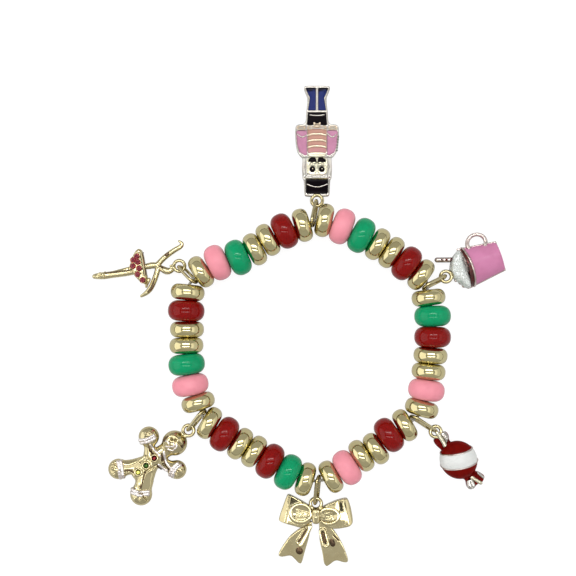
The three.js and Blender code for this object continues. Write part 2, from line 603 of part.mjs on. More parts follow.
const DANCER = {
  leg: [[11.0, -0.3, 1.5, 0.95], [13.9, -0.1, 1.3, 0.9], [18.6, -0.1, 1.15, 0.8],
    [22.5, 0, 1.1, 0.7], [23.8, 0, 1.1, 0.4]],
  otherLeg: [[12.6, -1.0, 1.3, 0.8], [16.9, -0.6, 1.15, 0.6], [19.7, 0.1, 1.1, 0.6],
    [21.4, 0.5, 1.1, 0.45]],
  body: [[9.9, -0.8, 1.5, 0.7], [8.0, -0.7, 1.5, 0.95], [6.4, -0.5, 1.5, 0.9],
    [5.2, -0.2, 1.5, 0.65], [4.6, 0, 1.6, 0.95], [3.4, 0.7, 1.7, 0.9], [2.2, 0.8, 1.8, 0.6]],
  upArm: [[6.0, -0.5, 1.5, 0.7], [4.3, -2.1, 1.4, 0.68], [2.5, -3.2, 1.3, 0.62],
    [0.5, -4.2, 1.3, 0.6], [-1.1, -5.0, 1.2, 0.58], [-1.4, -5.9, 1.2, 0.5], [-0.5, -6.8, 1.2, 0.3]],
  downArm: [[5.6, -0.6, 1.5, 0.7], [7.1, 2.2, 1.4, 0.68], [8.3, 4.4, 1.3, 0.65],
    [9.1, 5.4, 1.2, 0.65], [10.6, 6.2, 1.2, 0.55], [12.1, 6.9, 1.1, 0.3]],
  drape: [[8.9, 2.2, 1.2, 0.5], [9.4, 3.6, 1.1, 0.45], [9.9, 4.7, 1.1, 0.3]],
  tutu: [[10.5, -6.1], [9.8, -5.5], [9.4, -3.9], [9.2, -1.7], [9.1, 0.3], [8.9, 2.5], [9.4, 3.8],
    [10.2, 3.7], [11.7, 2.4], [12.7, 0.6], [13.3, -1.1], [13.0, -2.7], [12.1, -4.4], [11.2, -5.6]],
  tutuTop: 2.9,
  stones: [[11.2, -4.0], [11.4, -2.5], [12.3, -1.4], [10.9, -0.4], [11.4, 1.1], [10.2, 2.0],
    [9.9, 3.1]],
  stone: 0.66,
};

function buildBallerina(group) {
  const { leg, otherLeg, body, upArm, downArm, drape, tutu, tutuTop, stones, stone } = DANCER;
  const skirt = pillow(outline(tutu), tutuTop, 0.6, 2);
  const gems = stones.map(([x, y]) => {
    const geometry = new THREE.CylinderGeometry(stone * 0.5, stone, 0.8, 8).rotateX(Math.PI / 2);
    return solid(geometry.translate(x, y, tutuTop + 0.1));
  });
  const figure = [leg, otherLeg, body, upArm, downArm, drape].map((rows) => chain(rows));
  const whole = joined([skirt, ...gems, ...figure, castLoop(2.6, 1.2, 1.0)]);
  place('ballerina_charm', shell(whole.intersect(above(0))), 'gold', group);
}

// ---- the whole ----------------------------------------------------------
const CHARMS = {
  nutcracker: buildNutcracker, mug: buildMug, candy: buildCandy, bow: buildBow,
  gingerbread: buildGingerbread, ballerina: buildBallerina,
};

const string = buildString();
for (const [name, build] of Object.entries(CHARMS)) {
  const station = STATIONS[name];
  const group = new THREE.Group();
  group.position.set(station.at[0], station.at[1], 0);
  group.rotation.z = rad(station.turn);
  bracelet.add(group);
  build(group);
  buildLink(`link_${name}`, string, station);
}

export default bracelet;
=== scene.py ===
"""Looks of a stretch charm bracelet: drilled beads on an elastic cord, and six cast charms on jump rings.

Every charm is modelled in its own millimetres, along +X from the middle of its cast loop, and is then
set down at its station. The rest is placed from the CAD nodes themselves.
"""

import logging
import math
from collections.abc import Sequence
from dataclasses import dataclass
from enum import Enum
from itertools import product

import bpy
import numpy as np
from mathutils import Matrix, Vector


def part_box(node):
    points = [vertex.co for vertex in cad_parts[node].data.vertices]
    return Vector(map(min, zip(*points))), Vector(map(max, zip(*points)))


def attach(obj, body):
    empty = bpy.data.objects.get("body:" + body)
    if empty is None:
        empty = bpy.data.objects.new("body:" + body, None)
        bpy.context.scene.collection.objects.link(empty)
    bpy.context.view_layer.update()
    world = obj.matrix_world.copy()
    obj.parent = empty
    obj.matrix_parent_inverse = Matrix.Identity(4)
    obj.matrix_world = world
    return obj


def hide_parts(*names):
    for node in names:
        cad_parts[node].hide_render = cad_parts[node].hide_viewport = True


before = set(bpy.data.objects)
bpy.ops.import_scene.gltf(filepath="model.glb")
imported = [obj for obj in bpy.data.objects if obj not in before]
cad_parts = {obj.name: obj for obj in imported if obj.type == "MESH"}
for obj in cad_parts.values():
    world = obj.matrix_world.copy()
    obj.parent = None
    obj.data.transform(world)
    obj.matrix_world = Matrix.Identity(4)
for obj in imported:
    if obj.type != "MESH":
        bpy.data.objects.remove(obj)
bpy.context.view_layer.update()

MM = 0.001      # the length of a millimetre, in metres
FAR = 9.0       # a distance in millimetres that is outside every form
BENDS = 2       # how often the corners of an outline or a line are cut back
STEEP = 0.85    # what keeps a sloping face's distance from being too long
log = logging.getLogger("bracelet")

Colour = tuple[float, float, float]
Point = Sequence[float]
Points = Sequence[Point]
Grid = np.ndarray


# ---- shader helpers ----
class Value:
    """A number that changes over a surface. Sums on it add Math nodes."""

    def __init__(self, recipe: "Recipe", socket: bpy.types.NodeSocket) -> None:
        """Wrap one output socket of a recipe's node."""
        self.recipe = recipe
        self.socket = socket

    def _math(self, operation: str, first: "Value | float", second: "Value | float" = 0.0) -> "Value":
        """Add one Math node and return its result."""
        return self.recipe.node("ShaderNodeMath", {"operation": operation}, {0: first, 1: second})

    def __add__(self, other: "Value | float") -> "Value":
        """Return self + other."""
        return self._math("ADD", self, other)

    def __radd__(self, other: float) -> "Value":
        """Return other + self."""
        return self._math("ADD", other, self)

    def __sub__(self, other: "Value | float") -> "Value":
        """Return self - other."""
        return self._math("SUBTRACT", self, other)

    def __rsub__(self, other: float) -> "Value":
        """Return other - self."""
        return self._math("SUBTRACT", other, self)

    def __mul__(self, other: "Value | float") -> "Value":
        """Return self * other."""
        return self._math("MULTIPLY", self, other)

    def __rmul__(self, other: float) -> "Value":
        """Return other * self."""
        return self._math("MULTIPLY", other, self)

    def __abs__(self) -> "Value":
        """Return the size of self without its sign."""
        return self._math("ABSOLUTE", self)

    def beside(self, output: int) -> "Value":
        """Return another output of the same node."""
        return Value(self.recipe, self.socket.node.outputs[output])

    def ramp(self, low: float, high: float) -> "Value":
        """Return a smooth step from 0 at `low` to 1 at `high`."""
        sockets = {0: self, 1: low, 2: high}
        return self.recipe.node("ShaderNodeMapRange", {"interpolation_type": "SMOOTHSTEP"}, sockets)

    def within(self, low: float, high: float, soft: float) -> "Value":
        """Return 1 between `low` and `high`, with edges `soft` wide, and 0 elsewhere."""
        return self.ramp(low - soft / 2, low + soft / 2) * (1 - self.ramp(high - soft / 2, high + soft / 2))


@dataclass(frozen=True)
class Patches:
    """Soft patches: their size in millimetres, the noise at which they start and are full, the noise's
    finer layers, and factors on X, Y and Z."""

    size: float
    low: float
    high: float
    detail: float = 2.0
    stretch: Point | None = None


class Recipe:
    """Adds nodes to one node tree, and links or sets their sockets."""

    def __init__(self, tree: bpy.types.NodeTree) -> None:
        """Start from an empty tree."""
        self.tree = tree
        tree.nodes.clear()

    def put(self, socket: bpy.types.NodeSocket, value: "Value | float | Sequence[float]") -> None:
        """Link a value to a socket, or set the socket's own number or colour.

        Args:
            socket: The input socket.
            value: A Value to link, or a number, colour or vector to set.
        """
        if isinstance(value, Value):
            self.tree.links.new(value.socket, socket)
        elif isinstance(value, (int, float)):
            socket.default_value = value
        else:
            size = len(socket.default_value)
            socket.default_value = (*value, 1.0)[:size]

    def node(self, kind: str, settings: dict | None = None, inputs: dict | None = None,
             output: int | str = 0) -> Value:
        """Add a node.

        Args:
            kind: The node's type.
            settings: Its properties.
            inputs: What goes into its sockets, by name or number.
            output: The output that is wanted.

        Returns:
            That output, as a Value.
        """
        made = self.tree.nodes.new(kind)
        for key, value in (settings or {}).items():
            setattr(made, key, value)
        for key, value in (inputs or {}).items():
            self.put(made.inputs[key], value)
        return Value(self, made.outputs[output] if made.outputs else None)

    def place(self) -> Value:
        """Return the point on the piece, in metres."""
        return self.node("ShaderNodeTexCoord", output="Object")

    def noise(self, size: float, detail: float = 2.0, stretch: Point | None = None) -> Value:
        """Return soft noise.

        Args:
            size: The size of its blotches, in millimetres.
            detail: How many finer layers it has.
            stretch: Factors on X, Y and Z, if any.

        Returns:
            The noise, from 0 to 1.
        """
        where = self.place()
        if stretch:
            where = self.node("ShaderNodeVectorMath", {"operation": "MULTIPLY"}, {0: where, 1: stretch})
        sockets = {"Vector": where, "Scale": 1 / (size * MM), "Detail": detail}
        return self.node("ShaderNodeTexNoise", {}, sockets)

    def patches(self, kind: Patches) -> Value:
        """Return how far each point is in a patch, from 0 to 1."""
        return self.noise(kind.size, kind.detail, kind.stretch).ramp(kind.low, kind.high)

    def mix(self, factor: "Value | float", first: "Value | Colour", second: "Value | Colour") -> Value:
        """Return a colour between two, by a factor."""
        return self.node("ShaderNodeMix", {"data_type": "RGBA"}, {0: factor, 6: first, 7: second}, 2)

    def bump(self, height: Value, depth: float, strength: float = 1.0) -> Value:
        """Return a normal for relief `depth` millimetres deep."""
        sockets = {"Height": height, "Distance": depth * MM, "Strength": strength}
        return self.node("ShaderNodeBump", {}, sockets)

    def finish(self, sockets: dict) -> None:
        """Close a material with one Principled shader.

        Args:
            sockets: What goes into the shader's sockets, by name.
        """
        shader = self.node("ShaderNodeBsdfPrincipled", {}, sockets)
        self.node("ShaderNodeOutputMaterial", {}, {"Surface": shader})


@dataclass(frozen=True)
class Finish:
    """What every finish shares: a name, and one material that its pieces use."""

    name: str

    def dress(self, recipe: Recipe) -> None:
        """Add the finish's own nodes to a recipe."""
        raise NotImplementedError

    def material(self) -> bpy.types.Material:
        """Make the material when it is first asked for.

        Returns:
            The shared material.
        """
        title = f"{self.name}_finish"
        known = bpy.data.materials.get(title)
        if known:
            return known
        made = bpy.data.materials.new(title)
        made.use_nodes = True
        self.dress(Recipe(made.node_tree))
        return made


@dataclass(frozen=True)
class Plating(Finish):
    """Polished gold-tone plate: slightly uneven in tone, with soft smears, hairline scratches and, where
    asked, painted shade in its creases.
    """

    tint: Colour = (0.65, 0.585, 0.325)
    warm: Colour = (0.61, 0.53, 0.275)
    roughness: float = 0.07
    ripple: float = 0.002
    # How strongly hollows are darkened as painted shade, the colour of that shade, and the pointiness over
    # which it fades in.
    crease_shade: float = 0.0
    shade_colour: Colour = (0.030, 0.020, 0.010)
    crease: tuple = (0.43, 0.495)
    wear: float = 0.05
    wave: float = 0.9
    blotches: Patches = Patches(2.6, 0.3, 0.75)
    smears: Patches = Patches(1.1, 0.45, 0.8, 4.0, (1.0, 2.2, 1.0))
    hairlines: Patches = Patches(0.5, 0.60, 0.72, 3.0, (0.12, 2.5, 1.0))

    def dress(self, recipe: Recipe) -> None:
        """Add tone, smears, hairlines, ripple, and painted shade in the creases.

        Args:
            recipe: Its recipe.
        """
        hairline = recipe.patches(self.hairlines)
        tone = recipe.mix(recipe.patches(self.blotches), self.tint, self.warm)
        # Painted shade: the colour is darkened where the surface is hollow, by pointiness, to stand in for
        # the shade in creases.
        if self.crease_shade:
            bulge = recipe.node("ShaderNodeNewGeometry", output="Pointiness")
            tone = recipe.mix((1 - bulge.ramp(*self.crease)) * self.crease_shade, tone, self.shade_colour)
        recipe.finish({
            "Base Color": tone,
            "Metallic": 1.0,
            "Roughness": self.roughness + self.wear * (recipe.patches(self.smears) + hairline),
            "Normal": recipe.bump(recipe.noise(self.wave, 1.0) + hairline * self.wear, self.ripple),
        })


@dataclass(frozen=True)
class Gloss(Finish):
    """Opaque glossy resin or enamel: faintly clouded, with a few specks and a soft orange peel.

    A fade runs from one place along Y to another, in millimetres, and its edge drifts.
    """

    colour: Colour = (0.5, 0.5, 0.5)
    shade: Colour = (0.4, 0.4, 0.4)
    roughness: float = 0.04
    cloud: float = 2.2
    index: float = 1.3
    fade: tuple[float, float] | None = None
    drift: float = 0.8
    peel: float = 0.0015
    peel_size: float = 0.8
    specks: Patches = Patches(0.18, 0.74, 0.80, 1.0)
    speck_share: float = 0.25
    smears: Patches = Patches(1.4, 0.4, 0.8, 3.0)
    smear_depth: float = 0.03

    def dress(self, recipe: Recipe) -> None:
        """Add the clouding or the fade along Y, the specks and the peel.

        Args:
            recipe: Its recipe.
        """
        cloud = recipe.patches(Patches(self.cloud, 0.3, 0.75, 3.0))
        if self.fade:
            along = recipe.node("ShaderNodeSeparateXYZ", {}, {0: recipe.place()}, "Y")
            cloud = (along + self.drift * MM * cloud).ramp(self.fade[0] * MM, self.fade[1] * MM)
        tone = recipe.mix(cloud, self.colour, self.shade)
        recipe.finish({
            "Base Color": recipe.mix(recipe.patches(self.specks) * self.speck_share, tone, self.shade),
            "Roughness": self.roughness + self.smear_depth * recipe.patches(self.smears),
            "IOR": self.index,
            "Normal": recipe.bump(recipe.noise(self.peel_size, 1.0), self.peel),
        })


@dataclass(frozen=True)
class Glitter(Finish):
    """Enamel full of fine flakes that tilt all ways, under a clear coat."""

    ground: Colour = (0.78, 0.79, 0.76)
    flake: Colour = (0.95, 0.96, 0.95)
    tint: Colour = (0.80, 0.86, 0.84)
    size: float = 0.16
    share: float = 0.5
    shine: float = 0.75
    coat: float = 0.5
    coat_roughness: float = 0.08
    roughness: float = 0.34
    polish: float = 0.14
    softness: float = 0.1
    relief: float = 0.3
    tilt: float = 0.8

    def dress(self, recipe: Recipe) -> None:
        """Add a field of flakes, each with its own tone, shine and tilt.

        Args:
            recipe: Its recipe.
        """
        cells = {"Vector": recipe.place(), "Scale": 1 / (self.size * MM)}
        pick = recipe.node("ShaderNodeTexVoronoi", {}, cells, "Color")
        which = recipe.node("ShaderNodeSeparateColor", {}, {0: pick})
        other = which.beside(1)
        shine = which.ramp(1 - self.share, 1 - self.share + self.softness)
        edge = recipe.node("ShaderNodeTexVoronoi", {}, cells, "Distance")
        recipe.finish({
            "Base Color": recipe.mix(shine, self.ground, recipe.mix(other, self.flake, self.tint)),
            "Metallic": shine * self.shine,
            "Roughness": self.roughness - self.polish * shine,
            "Coat Weight": self.coat,
            "Coat Roughness": self.coat_roughness,
            "Normal": recipe.bump(edge * other, self.size * self.relief * self.shine, self.tilt),
        })


@dataclass(frozen=True)
class Stone(Finish):
    """Foil-backed cut glass."""

    colour: Colour = (0.7, 0.2, 0.3)
    deep: Colour = (0.25, 0.02, 0.05)
    patches: Patches = Patches(0.35, 0.42, 0.58, 1.0)
    foil: float = 0.75
    roughness: float = 0.08
    haze: float = 0.06
    index: float = 1.35

    def dress(self, recipe: Recipe) -> None:
        """Add a bright foil with deeper patches, under clear glass.

        Args:
            recipe: Its recipe.
        """
        patch = recipe.patches(self.patches)
        recipe.finish({
            "Base Color": recipe.mix(patch, self.colour, self.deep),
            "Metallic": self.foil,
            "Roughness": self.roughness + self.haze * patch,
            "IOR": self.index,
        })


@dataclass(frozen=True)
class Cord(Finish):
    """Milky stretch cord."""

    colour: Colour = (0.42, 0.40, 0.34)
    deep: Colour = (0.30, 0.28, 0.23)
    streak: float = 0.3
    roughness: float = 0.35
    haze: float = 0.15
    relief: float = 0.01

    def dress(self, recipe: Recipe) -> None:
        """Add faint streaks to a soft, waxy surface.

        Args:
            recipe: Its recipe.
        """
        streak = recipe.noise(self.streak)
        recipe.finish({
            "Base Color": recipe.mix(streak, self.colour, self.deep),
            "Roughness": self.roughness + self.haze * streak,
            "Normal": recipe.bump(streak, self.relief),
        })


class Look(Enum):
    """The finishes that the pieces choose from."""

    GOLD = Plating("champagne_gold")
    # The platings below that set a crease weight darken their creases as painted shade.
    CAST_GOLD = Plating("cast_gold", (0.62, 0.545, 0.32), (0.57, 0.485, 0.27), crease_shade=0.9)
    BRIGHT_GOLD = Plating("link_gold", (0.60, 0.535, 0.32), (0.55, 0.46, 0.25), 0.09, crease_shade=0.8)
    PALE = Plating("pale_silver", (0.58, 0.56, 0.51), (0.52, 0.48, 0.44), 0.12, crease_shade=0.7)
    ROSY = Plating("rosy_silver", (0.66, 0.57, 0.53), (0.54, 0.44, 0.40), 0.18, crease_shade=0.8)
    TRIM = Plating("trim_gold", (0.68, 0.58, 0.45), (0.56, 0.45, 0.33), 0.22, crease_shade=0.9)
    FACE = Plating("face_gold", (0.68, 0.65, 0.50), (0.62, 0.58, 0.43), 0.25, crease_shade=0.9)
    BRONZE = Plating("dark_bronze", (0.24, 0.185, 0.165), (0.17, 0.13, 0.12), 0.2)
    # A dark finish for pieces laid where shade falls: painted shade.
    PAINTED_SHADE = Plating("painted_shade", (0.13, 0.082, 0.045), (0.08, 0.055, 0.035), 0.3)
    SILVERY = Plating("silvery_icing", (0.86, 0.82, 0.79), (0.76, 0.68, 0.64), 0.3, 0.01, crease_shade=0.6)
    RED = Gloss("red_resin", (0.23, 0.002, 0.0008), (0.20, 0.0015, 0.0005))
    GREEN = Gloss("green_resin", (0.002, 0.31, 0.125), (0.001, 0.28, 0.11))
    PINK = Gloss("pink_resin", (0.86, 0.31, 0.37), (0.82, 0.28, 0.34))
    COAT = Gloss("pink_enamel", (0.58, 0.265, 0.40), (0.52, 0.23, 0.35), 0.05, 1.6, 1.2)
    TORSO = Gloss("peach_enamel", (0.56, 0.265, 0.29), (0.55, 0.30, 0.235), 0.06, 1.6, 1.2, (46.5, 50.5))
    BLACK = Gloss("black_enamel", (0.004, 0.003, 0.004), (0.007, 0.004, 0.006), 0.06, 1.6, 1.14)
    BLUE = Gloss("blue_enamel", (0.022, 0.032, 0.145), (0.003, 0.003, 0.012), 0.05, 1.2, 1.2, (63.4, 64.6))
    MUG = Gloss("mug_enamel", (0.60, 0.225, 0.39), (0.55, 0.20, 0.345), 0.05, 3.0, 1.18)
    CANDY = Gloss("candy_enamel", (0.17, 0.004, 0.002), (0.12, 0.003, 0.002), 0.05, 1.6, 1.12)
    CREAM = Glitter("cream_glitter", (0.60, 0.62, 0.585), (0.84, 0.87, 0.84), (0.72, 0.79, 0.77),
                    0.2, 0.4, 0.7, 0.12)
    BAND = Glitter("band_glitter", (0.69, 0.70, 0.675), (0.84, 0.86, 0.84), (0.76, 0.80, 0.79),
                   0.16, 0.2, 0.25, 0.3)
    COCOA = Glitter("cocoa_glitter", (0.055, 0.008, 0.006), (0.20, 0.016, 0.012), (0.10, 0.012, 0.008),
                    0.36, 0.3, 0.3, 0.0)
    ROSE_STONE = Stone("rose_stone", (0.66, 0.19, 0.23), (0.30, 0.04, 0.065))
    RED_STONE = Stone("red_stone", (0.085, 0.002, 0.003), (0.025, 0.0, 0.0))
    GREEN_STONE = Stone("green_stone", (0.045, 0.09, 0.012), (0.008, 0.03, 0.003))
    LIME_STONE = Stone("lime_stone", (0.42, 0.42, 0.07), (0.22, 0.22, 0.04))
    ELASTIC = Cord("elastic_cord")


# ---- pieces and places ----
@dataclass(frozen=True)
class Station:
    """Where a charm lies: the middle of its cast loop, and the way that it points, in degrees."""

    x: float = 0.0
    y: float = 0.0
    turn: float = 0.0

    def set_down(self, points: Grid) -> Grid:
        """Turn points from millimetres into the row frame's metres.

        Args:
            points: The points, as rows.

        Returns:
            The placed points.
        """
        c, s = math.cos(math.radians(self.turn)), math.sin(math.radians(self.turn))
        x, y, z = points.T
        return np.stack([self.x + c * x - s * y, self.y + s * x + c * y, z], 1) * MM


@dataclass
class Shape:
    """Points in millimetres, and the faces between them."""

    points: Grid
    faces: list


def make_piece(name: str, shape: Shape, look: Look, station: Station = Station(),
               nodes: Sequence[str] = (), smooth: bool = True) -> None:
    """Turn a shape into a dressed piece that rides on the root.

    Args:
        name: The piece's name.
        shape: Its points and faces.
        look: Its finish.
        station: Where it is set down.
        nodes: The CAD nodes that it stands for.
        smooth: Whether it is shaded as one curve.
    """
    mesh = bpy.data.meshes.new(name)
    faces = shape.faces.tolist() if isinstance(shape.faces, np.ndarray) else shape.faces
    mesh.from_pydata(station.set_down(shape.points).tolist(), [], faces)
    mesh.materials.append(look.value.material())
    mesh.polygons.foreach_set("use_smooth", [smooth] * len(mesh.polygons))
    mesh.update()
    piece = bpy.data.objects.new(name, mesh)
    bpy.context.scene.collection.objects.link(piece)
    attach(piece, "root")
    if nodes:
        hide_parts(*nodes)
    log.info("%s: %d faces, stands for %s", name, len(mesh.polygons), ", ".join(nodes) or "no node")


# ---- forms on a fine grid ----
def blend(first: Grid, second: Grid, soft: float) -> Grid:
    """Return the lower of two distances.

    Args:
        first: One form's distance.
        second: The other's.
        soft: The fillet's width.

    Returns:
        Their joint distance.
    """
    if soft <= 0:
        return np.minimum(first, second)
    share = np.clip(0.5 + 0.5 * (second - first) / soft, 0, 1)
    return second + (first - second) * share - soft * share * (1 - share)


def rounded(points: Points) -> list:
    """Cut an outline's corners back to soft curves.

    Args:
        points: The outline's corners.

    Returns:
        The new outline.
    """
    ring = np.array(points, float)
    for _ in range(BENDS):
        after = np.roll(ring, -1, 0)
        ring = np.stack([0.8 * ring + 0.2 * after, 0.2 * ring + 0.8 * after], 1).reshape(-1, 2)
    return ring.tolist()


def mirrored(rows: Points) -> list:
    """Return the outline of a form given by rows of [x, half width]."""
    return [(x, -y) for x, y in rows] + [(x, y) for x, y in reversed(rows)]


def sided(rows: Points, side: int) -> list:
    """Return rows of x, y and the rest, on one side of X or, for -1, the other."""
    return [(x, y * side, *rest) for x, y, *rest in rows]


def eased(points: Points) -> list:
    """Soften an open line's bends.

    Args:
        points: The line's points.

    Returns:
        The new line, with the same ends.
    """
    line = np.array(points, float)
    for _ in range(BENDS):
        cuts = np.stack([0.75 * line[:-1] + 0.25 * line[1:], 0.25 * line[:-1] + 0.75 * line[1:]], 1)
        line = np.concatenate([line[:1], cuts.reshape(-1, line.shape[1]), line[-1:]])
    return line.tolist()


class Block:
    """A block of space on a fine grid, which forms are added to and cut from.

    The grid holds each point's distance to the form's surface, in millimetres, below zero inside it.
    """

    smoothing: int = 4
    smooth_steps: tuple = (0.6, -0.62)

    def __init__(self, low: Point, high: Point, cell: float) -> None:
        """Lay out an empty grid.

        Args:
            low: Its lowest corner.
            high: Its highest corner.
            cell: The size of its cells.
        """
        self.cell = cell
        self.low = [value - 2 * cell for value in low]
        spans = [np.arange(a, b + 3 * cell, cell, dtype=np.float32) for a, b in zip(self.low, high)]
        self.x, self.y, self.z = spans[0][:, None, None], spans[1][None, :, None], spans[2][None, None, :]
        self.form = np.full([len(span) for span in spans], FAR, np.float32)

    def add(self, other: Grid, soft: float = 0.0) -> None:
        """Join a form to the block's, with a fillet."""
        self.form = blend(self.form, other, soft).astype(np.float32)

    def cut(self, other: Grid, soft: float = 0.0) -> None:
        """Take a form away from the block's, with a rounded edge."""
        self.form = -blend(-self.form, other, soft).astype(np.float32)

    def keep(self, other: Grid, soft: float = 0.0) -> None:
        """Keep only what lies inside a form too."""
        self.form = -blend(-self.form, -other, soft).astype(np.float32)

    def sink(self, flat: Grid, floor: Grid | float, soft: float = 0.05) -> None:
        """Cut an outline's pocket down to a floor, whose height may vary."""
        self.cut(np.maximum(flat, floor - self.z), soft)

    def ball(self, at: Point, size: Point | float) -> Grid:
        """Return the distance to a ball.

        Args:
            at: Its middle.
            size: Its radius, or three radii.

        Returns:
            The distance.
        """
        radii = (size, size, size) if isinstance(size, (int, float)) else size
        parts = [(axis - centre) / r for axis, centre, r in zip((self.x, self.y, self.z), at, radii)]
        near = np.sqrt(sum(p * p for p in parts)) + 1e-6
        steep = np.sqrt(sum((p / r) ** 2 for p, r in zip(parts, radii))) + 1e-6
        return near * (near - 1) / steep

    def limb(self, start: Point, end: Point, flat: float = 1.0) -> Grid:
        """Return the distance to a round bar.

        Args:
            start: One end's x, y, z and radius.
            end: The other end's.
            flat: Its height against its width.

        Returns:
            The distance.
        """
        a, b = np.array(start[:3], float), np.array(end[:3], float)
        way = b - a
        along = (self.x - a[0]) * way[0] + (self.y - a[1]) * way[1] + (self.z - a[2]) * way[2]
        t = np.clip(along / max(float(way @ way), 1e-9), 0, 1)
        dx, dy = self.x - a[0] - t * way[0], self.y - a[1] - t * way[1]
        dz = (self.z - a[2] - t * way[2]) / flat
        return np.sqrt(dx * dx + dy * dy + dz * dz) - (start[3] + (end[3] - start[3]) * t)

    def chain(self, rows: Points, flat: float = 1.0, soft: float = 0.25) -> Grid:
        """Return the distance to a bent bar.

        Args:
            rows: Its bends, each x, y, z and radius.
            flat: Its height against its width.
            soft: The fillet's width at each bend.

        Returns:
            The distance.
        """
        whole = self.limb(rows[0], rows[1], flat)
        for a, b in zip(rows[1:], rows[2:]):
            whole = blend(whole, self.limb(a, b, flat), soft)
        return whole

    def outline(self, points: Points) -> Grid:
        """Return each column's distance to a closed outline.

        Args:
            points: The outline's corners.

        Returns:
            The distance, below zero inside it.
        """
        best, inside = None, None
        ring = np.array(points, float)
        for (ax, ay), (bx, by) in zip(ring, np.roll(ring, -1, 0)):
            ex, ey = bx - ax, by - ay
            wx, wy = self.x - ax, self.y - ay
            t = np.clip((wx * ex + wy * ey) / (ex * ex + ey * ey + 1e-12), 0, 1)
            gap = (wx - ex * t) ** 2 + (wy - ey * t) ** 2
            side = ex * wy - ey * wx
            up, down = (ay <= self.y) & (by > self.y), (ay > self.y) & (by <= self.y)
            cross = (up & (side > 0)) | (down & (side < 0))
            best = gap if best is None else np.minimum(best, gap)
            inside = cross if inside is None else inside ^ cross
        return np.where(inside, -1, 1).astype(np.float32) * np.sqrt(best).astype(np.float32)

    def slab(self, flat: Grid, bottom: float, top: float, edge: float = 0.15) -> Grid:
        """Return the distance to an outline's plate.

        Args:
            flat: The outline's distance.
            bottom: The plate's underside.
            top: Its upper face.
            edge: The radius of its edges.

        Returns:
            The distance.
        """
        side = flat + edge
        rise = np.abs(self.z - (bottom + top) / 2) - (top - bottom) / 2 + edge
        out = np.sqrt(np.maximum(side, 0) ** 2 + np.maximum(rise, 0) ** 2)
        return out + np.minimum(np.maximum(side, rise), 0) - edge

    def dome(self, flat: Grid, bottom: float, top: float, run: float, rise: float) -> Grid:
        """Return the distance to an outline's cushion.

        Args:
            flat: The outline's distance.
            bottom: The cushion's underside.
            top: Its highest level.
            run: How far in from its edge it drops.
            rise: How deep it drops there.

        Returns:
            The distance.
        """
        part = 1 - np.clip(-flat / run, 0, 1)
        height = top - rise * (1 - np.sqrt(np.maximum(1 - part * part, 0)))
        return np.maximum(np.maximum(flat, (self.z - height) * 0.8), bottom - self.z)

    def near(self, points: Points) -> Grid:
        """Return each column's distance to an open line.

        Args:
            points: The line's points, or one point alone.

        Returns:
            The distance.
        """
        gaps = []
        for (ax, ay), (bx, by) in zip(points, points[1:] or points):
            ex, ey = bx - ax, by - ay
            t = np.clip(((self.x - ax) * ex + (self.y - ay) * ey) / (ex * ex + ey * ey + 1e-9), 0, 1)
            gaps.append(np.hypot(self.x - ax - t * ex, self.y - ay - t * ey))
        return np.minimum.reduce(gaps)

    def relief(self, flat: Grid, height: Grid | float, edge: float = 0.15) -> Grid:
        """Return the distance to an outline's block with an upper face of varying height."""
        return -blend(-flat + 0 * self.z, (height - self.z) * STEEP, edge)

    def top(self, x: float, y: float) -> float:
        """Return the height of the form's upper face.

        Args:
            x: The place along X.
            y: The place along Y.

        Returns:
            The height there.
        """
        column = self.form[round((x - self.low[0]) / self.cell), round((y - self.low[1]) / self.cell)]
        inside = np.flatnonzero(column < 0)
        if not len(inside):
            return 0.0
        last = inside[-1]
        return self.low[2] + self.cell * (last + column[last] / (column[last] - column[last + 1]))

    def drape(self, points: Points, radius: float, lift: float = 0.0, step: float = 0.4) -> list:
        """Lay a line over the form.

        Args:
            points: The line's bends.
            radius: The radius of what is laid.
            lift: How far its middle is above the form's face.
            step: The distance between rows.

        Returns:
            Rows of x, y, z and radius along it.
        """
        line, rows = eased(points), []
        for (ax, ay), (bx, by) in zip(line, line[1:]):
            count = max(1, round(math.hypot(bx - ax, by - ay) / step))
            rows += [(ax + (bx - ax) * i / count, ay + (by - ay) * i / count) for i in range(count)]
        rows.append(line[-1])
        return [(x, y, self.top(x, y) + lift, radius) for x, y in rows]

    def lay(self, lines: Sequence, size: tuple[float, float], soft: float, under: "Block") -> None:
        """Join bars to the form along lines laid over another, each of a radius and a lift."""
        for line in lines:
            self.add(self.chain(under.drape(line, *size)), soft)

    def skin(self) -> Shape:
        """Wrap the block's form, with a point in each cell that its surface crosses.

        Returns:
            Its surface, as four-sided faces.
        """
        form = self.form
        form[0], form[-1], form[:, 0], form[:, -1], form[:, :, 0], form[:, :, -1] = (FAR,) * 6
        solid = form < 0
        size = [n - 1 for n in form.shape]
        corners = list(product((0, 1), repeat=3))
        view = [solid[i:i + size[0], j:j + size[1], k:k + size[2]] for i, j, k in corners]
        count = sum(part.astype(np.int8) for part in view)
        active = (count > 0) & (count < 8)
        number = np.full(active.shape, -1, np.int32)
        cells = np.argwhere(active)
        number[active] = np.arange(len(cells))
        total, hits = np.zeros((len(cells), 3)), np.zeros(len(cells))
        for a in corners:
            for axis in range(3):
                if a[axis]:
                    continue
                b = tuple(1 if i == axis else a[i] for i in range(3))
                here, there = form[tuple((cells + a).T)], form[tuple((cells + b).T)]
                crossed = (here < 0) != (there < 0)
                part = np.where(crossed, here / np.where(crossed, here - there, 1), 0)
                point = np.array(a, float) + part[:, None] * (np.array(b) - a)
                total += point * crossed[:, None]
                hits += crossed
        points = np.array(self.low) + self.cell * (cells + total / hits[:, None])
        faces = np.concatenate([self._faces(solid, number, axis) for axis in range(3)])
        for share in self.smooth_steps * self.smoothing:
            points = points + share * (self._around(points, faces) - points)
        return Shape(points, faces)

